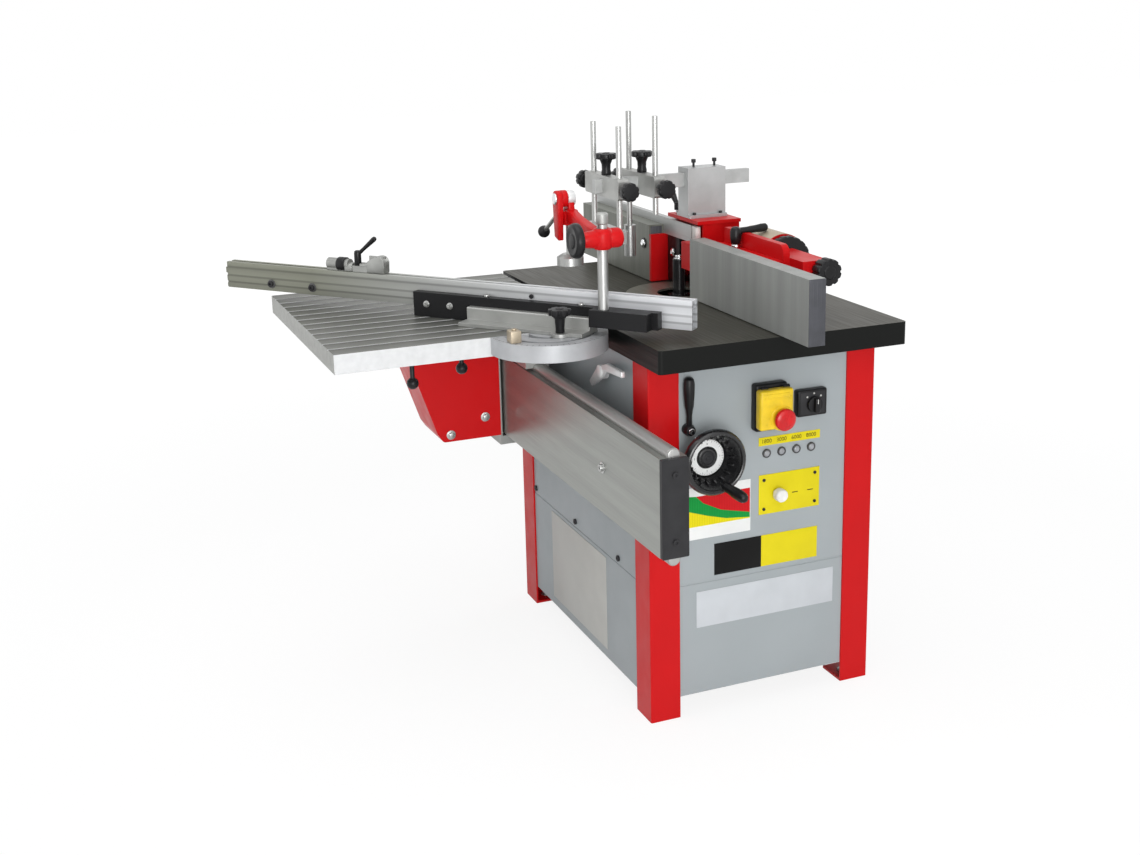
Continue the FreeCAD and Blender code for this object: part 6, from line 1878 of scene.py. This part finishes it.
@dataclass
class FenceUnit(Assembly):
    """Knobs, levers, sleeve, guard strip, end plugs and bolts of the hooded fence."""

    barrel_axis: Flat = (150.0, 950.0)
    depth_foot: float = 200.0
    depth_hub: Outline = ((0, -25.7), (7.9, -25.7), (7.9, 0.3), (40.0, 0.3), (52.0, 6.0), (0, 10.0))
    depth_cap: Outline = ((0, 0), (30.0, 0), (27.0, 2.2), (18.0, 2.2), (16.0, 0.4), (0, 0.4))
    depth_head_out: float = 5.0
    depth_head_thick: float = 19.0
    feed_axis: Flat = (140.0, 960.0)
    feed_foot: float = 385.0
    feed_hub: Outline = ((0, -25.7), (7.9, -25.7), (7.9, 0.3), (18.0, 0.3), (22.0, 5.0), (0, 8.0))
    feed_cap: Outline = ((0, 0), (15.0, 0), (13.0, 1.8), (0, 2.2))
    feed_head_out: float = 4.0
    feed_head_thick: float = 27.0
    sleeve: Outline = ((58.6, 3.0), (59.2, 3.0), (59.2, 139.0), (58.6, 139.0), (58.6, 3.0))
    sleeve_start: float = 58.3

    lever_foot: Point = (140.0, 62.0, 976.0)
    lever_hub: Outline = ((0, -19.7), (5.4, -19.7), (5.4, 10.0), (10.5, 10.0), (12.5, 22.0), (12.5, 38.0),
                          (10.0, 45.0), (6.0, 47.5), (0, 48.0))
    lever_root: Point = (140.0, 62.0, 1012.0)
    lever_lean: float = -86.0
    lever_arm: Outline = ((0, 0), (9.0, 0), (7.8, 26.0), (8.0, 46.0), (9.4, 64.0), (8.8, 76.0), (5.5, 79.6),
                          (0, 80.0))
    lever_nut: Outline = ((5.6, 0.2), (10.0, 0.2), (10.0, 6.0), (8.0, 9.6), (5.6, 9.6), (5.6, 0.2))
    lip_stud_foot: Point = (-112.0, 40.0, 1020.0)
    lip_hub_foot: Point = (-112.0, 40.0, 1030.0)
    lip_hub: Outline = ((0, 0), (8.5, 0), (8.5, 14.0), (6.5, 18.0), (0, 18.6))
    lip_arm_root: Point = (-112.0, 40.0, 1039.0)
    lip_arm_lean: float = -48.0
    lip_arm: Outline = ((0, 0), (6.0, 0), (6.0, 16.0), (8.0, 34.0), (8.0, 44.0), (5.0, 49.0), (0, 50.0))

    plugs: tuple[EndSpec, ...] = (EndSpec("infeed_plug_inner", "infeed_face", 50.2),
                                  EndSpec("outfeed_plug_inner", "outfeed", -176.2))
    plug_form: EndForm = EndForm(4.0, (-3.9, 856.1), (25.9, 983.9), soft=0.4, ribs=(3.5, 11.0, 18.5),
                                 rib_half=1.2, rib_rise=0.15, rib_inset=1.9)
    caps: tuple[EndSpec, ...] = (EndSpec("infeed_end_cap", "infeed_face", 580.0),
                                 EndSpec("outfeed_end_cap", "outfeed", -591.6))
    cap_form: EndForm = EndForm(1.6, (-8.0, 852.0), (30.0, 988.0), soft=0.5, ribs=(2.0, 11.0, 20.0),
                                rib_half=0.5, rib_rise=0.2, rib_inset=2.0)
    guide_bar_cap: Box = ((-19.9, 30.3, 966.0), (4.0, 44.3, 1006.0))
    mouth_guard: Box = ((-161.5, 36.0, 853.0), (-96.0, 44.0, 964.0))
    button_bolts: tuple[BoltSpec, ...] = (BoltSpec("outfeed_bolt", (-202.0, -8.0, 940.0), "outfeed"),
                                          BoltSpec("guard_bolt", (-128.0, 36.0, 926.0), "fence_unit"))
    bolt_ring: Outline = ((9.8, 0), (13.0, 0), (13.0, 2.0), (9.8, 2.0), (9.8, 0))
    bolt_head: Outline = ((0, 0), (9.6, 0), (9.6, 4.0), (7.0, 6.2), (3.6, 6.8), (3.4, 5.0), (0, 5.0))
    arbor_top: Point = (-28.0, 2.0, 930.0)
    block_bolts: Outline = ((-93.0, 44.0), (-93.0, 112.0), (-30.5, 44.0), (-30.5, 112.0))
    block_foot: float = 1028.0
    block_middle: float = -61.5
    block_studs: Flat = (57.0, 111.0)
    block_top: float = 1136.0
    block_stud: Outline = ((0, 0), (2.8, 0), (2.8, 10.0), (5.4, 10.0), (5.4, 18.0), (0, 18.0))

    def build(self) -> None:
        """Make the fence's small pieces."""
        self.make_wheels()
        self.make_lever()
        self.make_lip_lever()
        self.make_ends()
        self.make_guards()
        self.make_block_bolts()

    def make_wheels(self) -> None:
        """Make the depth wheel, the infeed wheel and the barrel's sleeve."""
        head = self.depth_foot + self.depth_head_out
        depth = Shape().lathe(self.depth_hub, Axis.X.at(self.depth_foot, *self.barrel_axis), soft=0.6)
        place = Axis.X.at(head, *self.barrel_axis)
        depth.lobed(place, radius=57.0, thick=self.depth_head_thick, lobes=20, bite=0.025, soft=4.0)
        depth.lathe(self.depth_cap, Axis.X.at(head + self.depth_head_thick, *self.barrel_axis), soft=0.5)
        self.piece("depth_wheel", depth, Shop.KNOB, "depth_knob", "black_plastic", ("depth_knob",))
        head = self.feed_foot + self.feed_head_out
        feed = Shape().lathe(self.feed_hub, Axis.X.at(self.feed_foot, *self.feed_axis), soft=0.6)
        place = Axis.X.at(head, *self.feed_axis)
        feed.lobed(place, radius=29.0, thick=self.feed_head_thick, lobes=10, bite=0.10, soft=3.5)
        feed.lathe(self.feed_cap, Axis.X.at(head + self.feed_head_thick, *self.feed_axis), soft=0.4)
        self.piece("infeed_wheel", feed, Shop.KNOB, "infeed_knob", "black_plastic", ("infeed_knob",))
        place = Axis.X.at(self.sleeve_start, *self.barrel_axis)
        sleeve = Shape().lathe(self.sleeve, place, soft=0.2, sides=72)
        self.piece("barrel_sleeve", sleeve, Shop.SLEEVE, "infeed", "aluminium")

    def make_lever(self) -> None:
        """Make the infeed clamp lever and its nut."""
        lever = Shape().lathe(self.lever_hub, Axis.Z.at(*self.lever_foot), soft=0.6)
        lean = Matrix.Rotation(math.radians(self.lever_lean), 4, "X")
        lever.lathe(self.lever_arm, Axis.Z.at(*self.lever_root) @ lean, soft=0.5, sides=40)
        nut = Shape().lathe(self.lever_nut, Axis.Z.at(*self.lever_foot), soft=0.5, sides=40)
        self.piece("fence_lever_nut", nut, Shop.CHROME, "fence_lever", "steel")
        self.piece("fence_lever", lever, Shop.KNOB, "fence_lever", "black_plastic", ("fence_clamp_lever",))

    def make_lip_lever(self) -> None:
        """Make the small lever on the hood's lip, and its stud."""
        stud = Shape().drum(Axis.Z.at(*self.lip_stud_foot), radius=5.0, length=18.0)
        self.piece("lip_lever_stud", stud, Shop.CHROME, "fence_unit", "steel")
        handle = Shape().lathe(self.lip_hub, Axis.Z.at(*self.lip_hub_foot), soft=0.6)
        lean = Matrix.Rotation(math.radians(self.lip_arm_lean), 4, "Y")
        handle.lathe(self.lip_arm, Axis.Z.at(*self.lip_arm_root) @ lean, soft=0.5, sides=40)
        self.piece("lip_lever", handle, Shop.KNOB, "fence_unit", "black_plastic")

    def make_ends(self) -> None:
        """Make the ribbed plugs and caps that close the plates' ends, and the guide bar's cap."""
        for form, ends in ((self.plug_form, self.plugs), (self.cap_form, self.caps)):
            for end in ends:
                self.piece(end.name, form.shape(end.start), Shop.PLUG, end.body, "aluminium")
        cap = Shape().slab(self.guide_bar_cap, soft=5.0, steps=4)
        self.piece("guide_bar_cap", cap, Shop.WHITE, "fence_unit", "white_plastic")

    def make_guards(self) -> None:
        """Make the black guard strip in the hood's mouth, the button bolts and the arbor's screw."""
        strip = Shape().slab(self.mouth_guard, soft=1.5)
        self.piece("mouth_guard", strip, Shop.KNOB, "fence_unit", "black_plastic")
        for bolt in self.button_bolts:
            place = Axis.NEG_Y.at(*bolt.place)
            ring = Shape().lathe(self.bolt_ring, place, soft=0.4)
            self.piece(f"{bolt.name}_ring", ring, Shop.KNOB, bolt.body, "black_plastic")
            head = Shape().lathe(self.bolt_head, place, soft=0.4)
            self.piece(bolt.name, head, Shop.CHROME, bolt.body, "steel")
        screw = Shape().screw(Axis.Z.at(*self.arbor_top), radius=9.0, rise=7.0, washer=13.0)
        self.piece("arbor_screw", screw, Shop.CHROME, "spindle", "steel")

    def make_block_bolts(self) -> None:
        """Make the bolts and studs of the block that carries the pressure unit."""
        bolts = Shape()
        for along, across in self.block_bolts:
            bolts.screw(Axis.Z.at(along, across, self.block_foot), radius=4.0, rise=5.0)
        for across in self.block_studs:
            place = Axis.Z.at(self.block_middle, across, self.block_top)
            bolts.lathe(self.block_stud, place, soft=0.6, sides=32)
        self.piece("block_bolts", bolts, Shop.CAP, "fence_unit", "black_plastic")


@dataclass
class PressureUnit(Assembly):
    """Star and side knobs of the pressure unit."""

    middle: float = -61.5
    heads: tuple[tuple[str, float], ...] = (("front", -164.0), ("rear", -75.0))
    star_foot: float = 1124.0
    star_stem: Outline = ((0, 8.3), (11.0, 8.3), (11.5, 14.0), (10.0, 20.0), (10.5, 32.0), (14.5, 42.0),
                          (18.0, 46.5), (0, 48.0))
    star_head_level: float = 1168.0
    star_head_thick: float = 13.0
    star_cap: Outline = ((0, 0), (9.0, 0), (8.0, 1.2), (0, 1.6))
    side_level: float = 1108.0
    side_foot: float = 97.0
    side_head: float = 121.0
    side_stem: Outline = ((0, 0), (5.0, 0), (5.0, 22.0), (13.0, 22.0), (15.0, 26.0), (0, 30.0))

    def build(self) -> None:
        """Make the knobs."""
        for label, across in self.heads:
            head, thick = self.star_head_level, self.star_head_thick
            star = Shape().lathe(self.star_stem, Axis.Z.at(self.middle, across, self.star_foot), soft=0.5)
            place = Axis.Z.at(self.middle, across, head)
            star.lobed(place, radius=24.0, thick=thick, lobes=6, bite=0.2, soft=3.0)
            star.lathe(self.star_cap, Axis.Z.at(self.middle, across, head + thick), soft=0.3)
            self.piece(f"star_{label}_knob", star, Shop.KNOB, f"star_{label}", "black_plastic",
                       (f"star_knob_{label}",))
        sides = Shape()
        for _, across in self.heads:
            for sign, axis in ((1.0, Axis.X), (-1.0, Axis.NEG_X)):
                foot = axis.at(self.middle + sign * self.side_foot, across, self.side_level)
                sides.lathe(self.side_stem, foot, soft=0.5)
                head = axis.at(self.middle + sign * self.side_head, across, self.side_level)
                sides.lobed(head, radius=21.0, thick=18.0, lobes=8, bite=0.10, soft=3.5)
        self.piece("side_grips", sides, Shop.KNOB, "pressure", "black_plastic", ("side_knobs",))


def main() -> None:
    """Dress the machine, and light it."""
    logging.basicConfig(level=logging.INFO, format="%(message)s")
    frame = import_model()
    shop = Shop()
    Dressing().apply(frame["nodes"], shop)
    Camera().build()
    Studio().build()
    for kind in (ControlPanel, Stand, SlidingTable, MitreFence, HoldDown, FenceUnit, PressureUnit):
        kind(shop).build()


if __name__ == "__main__":
    main()
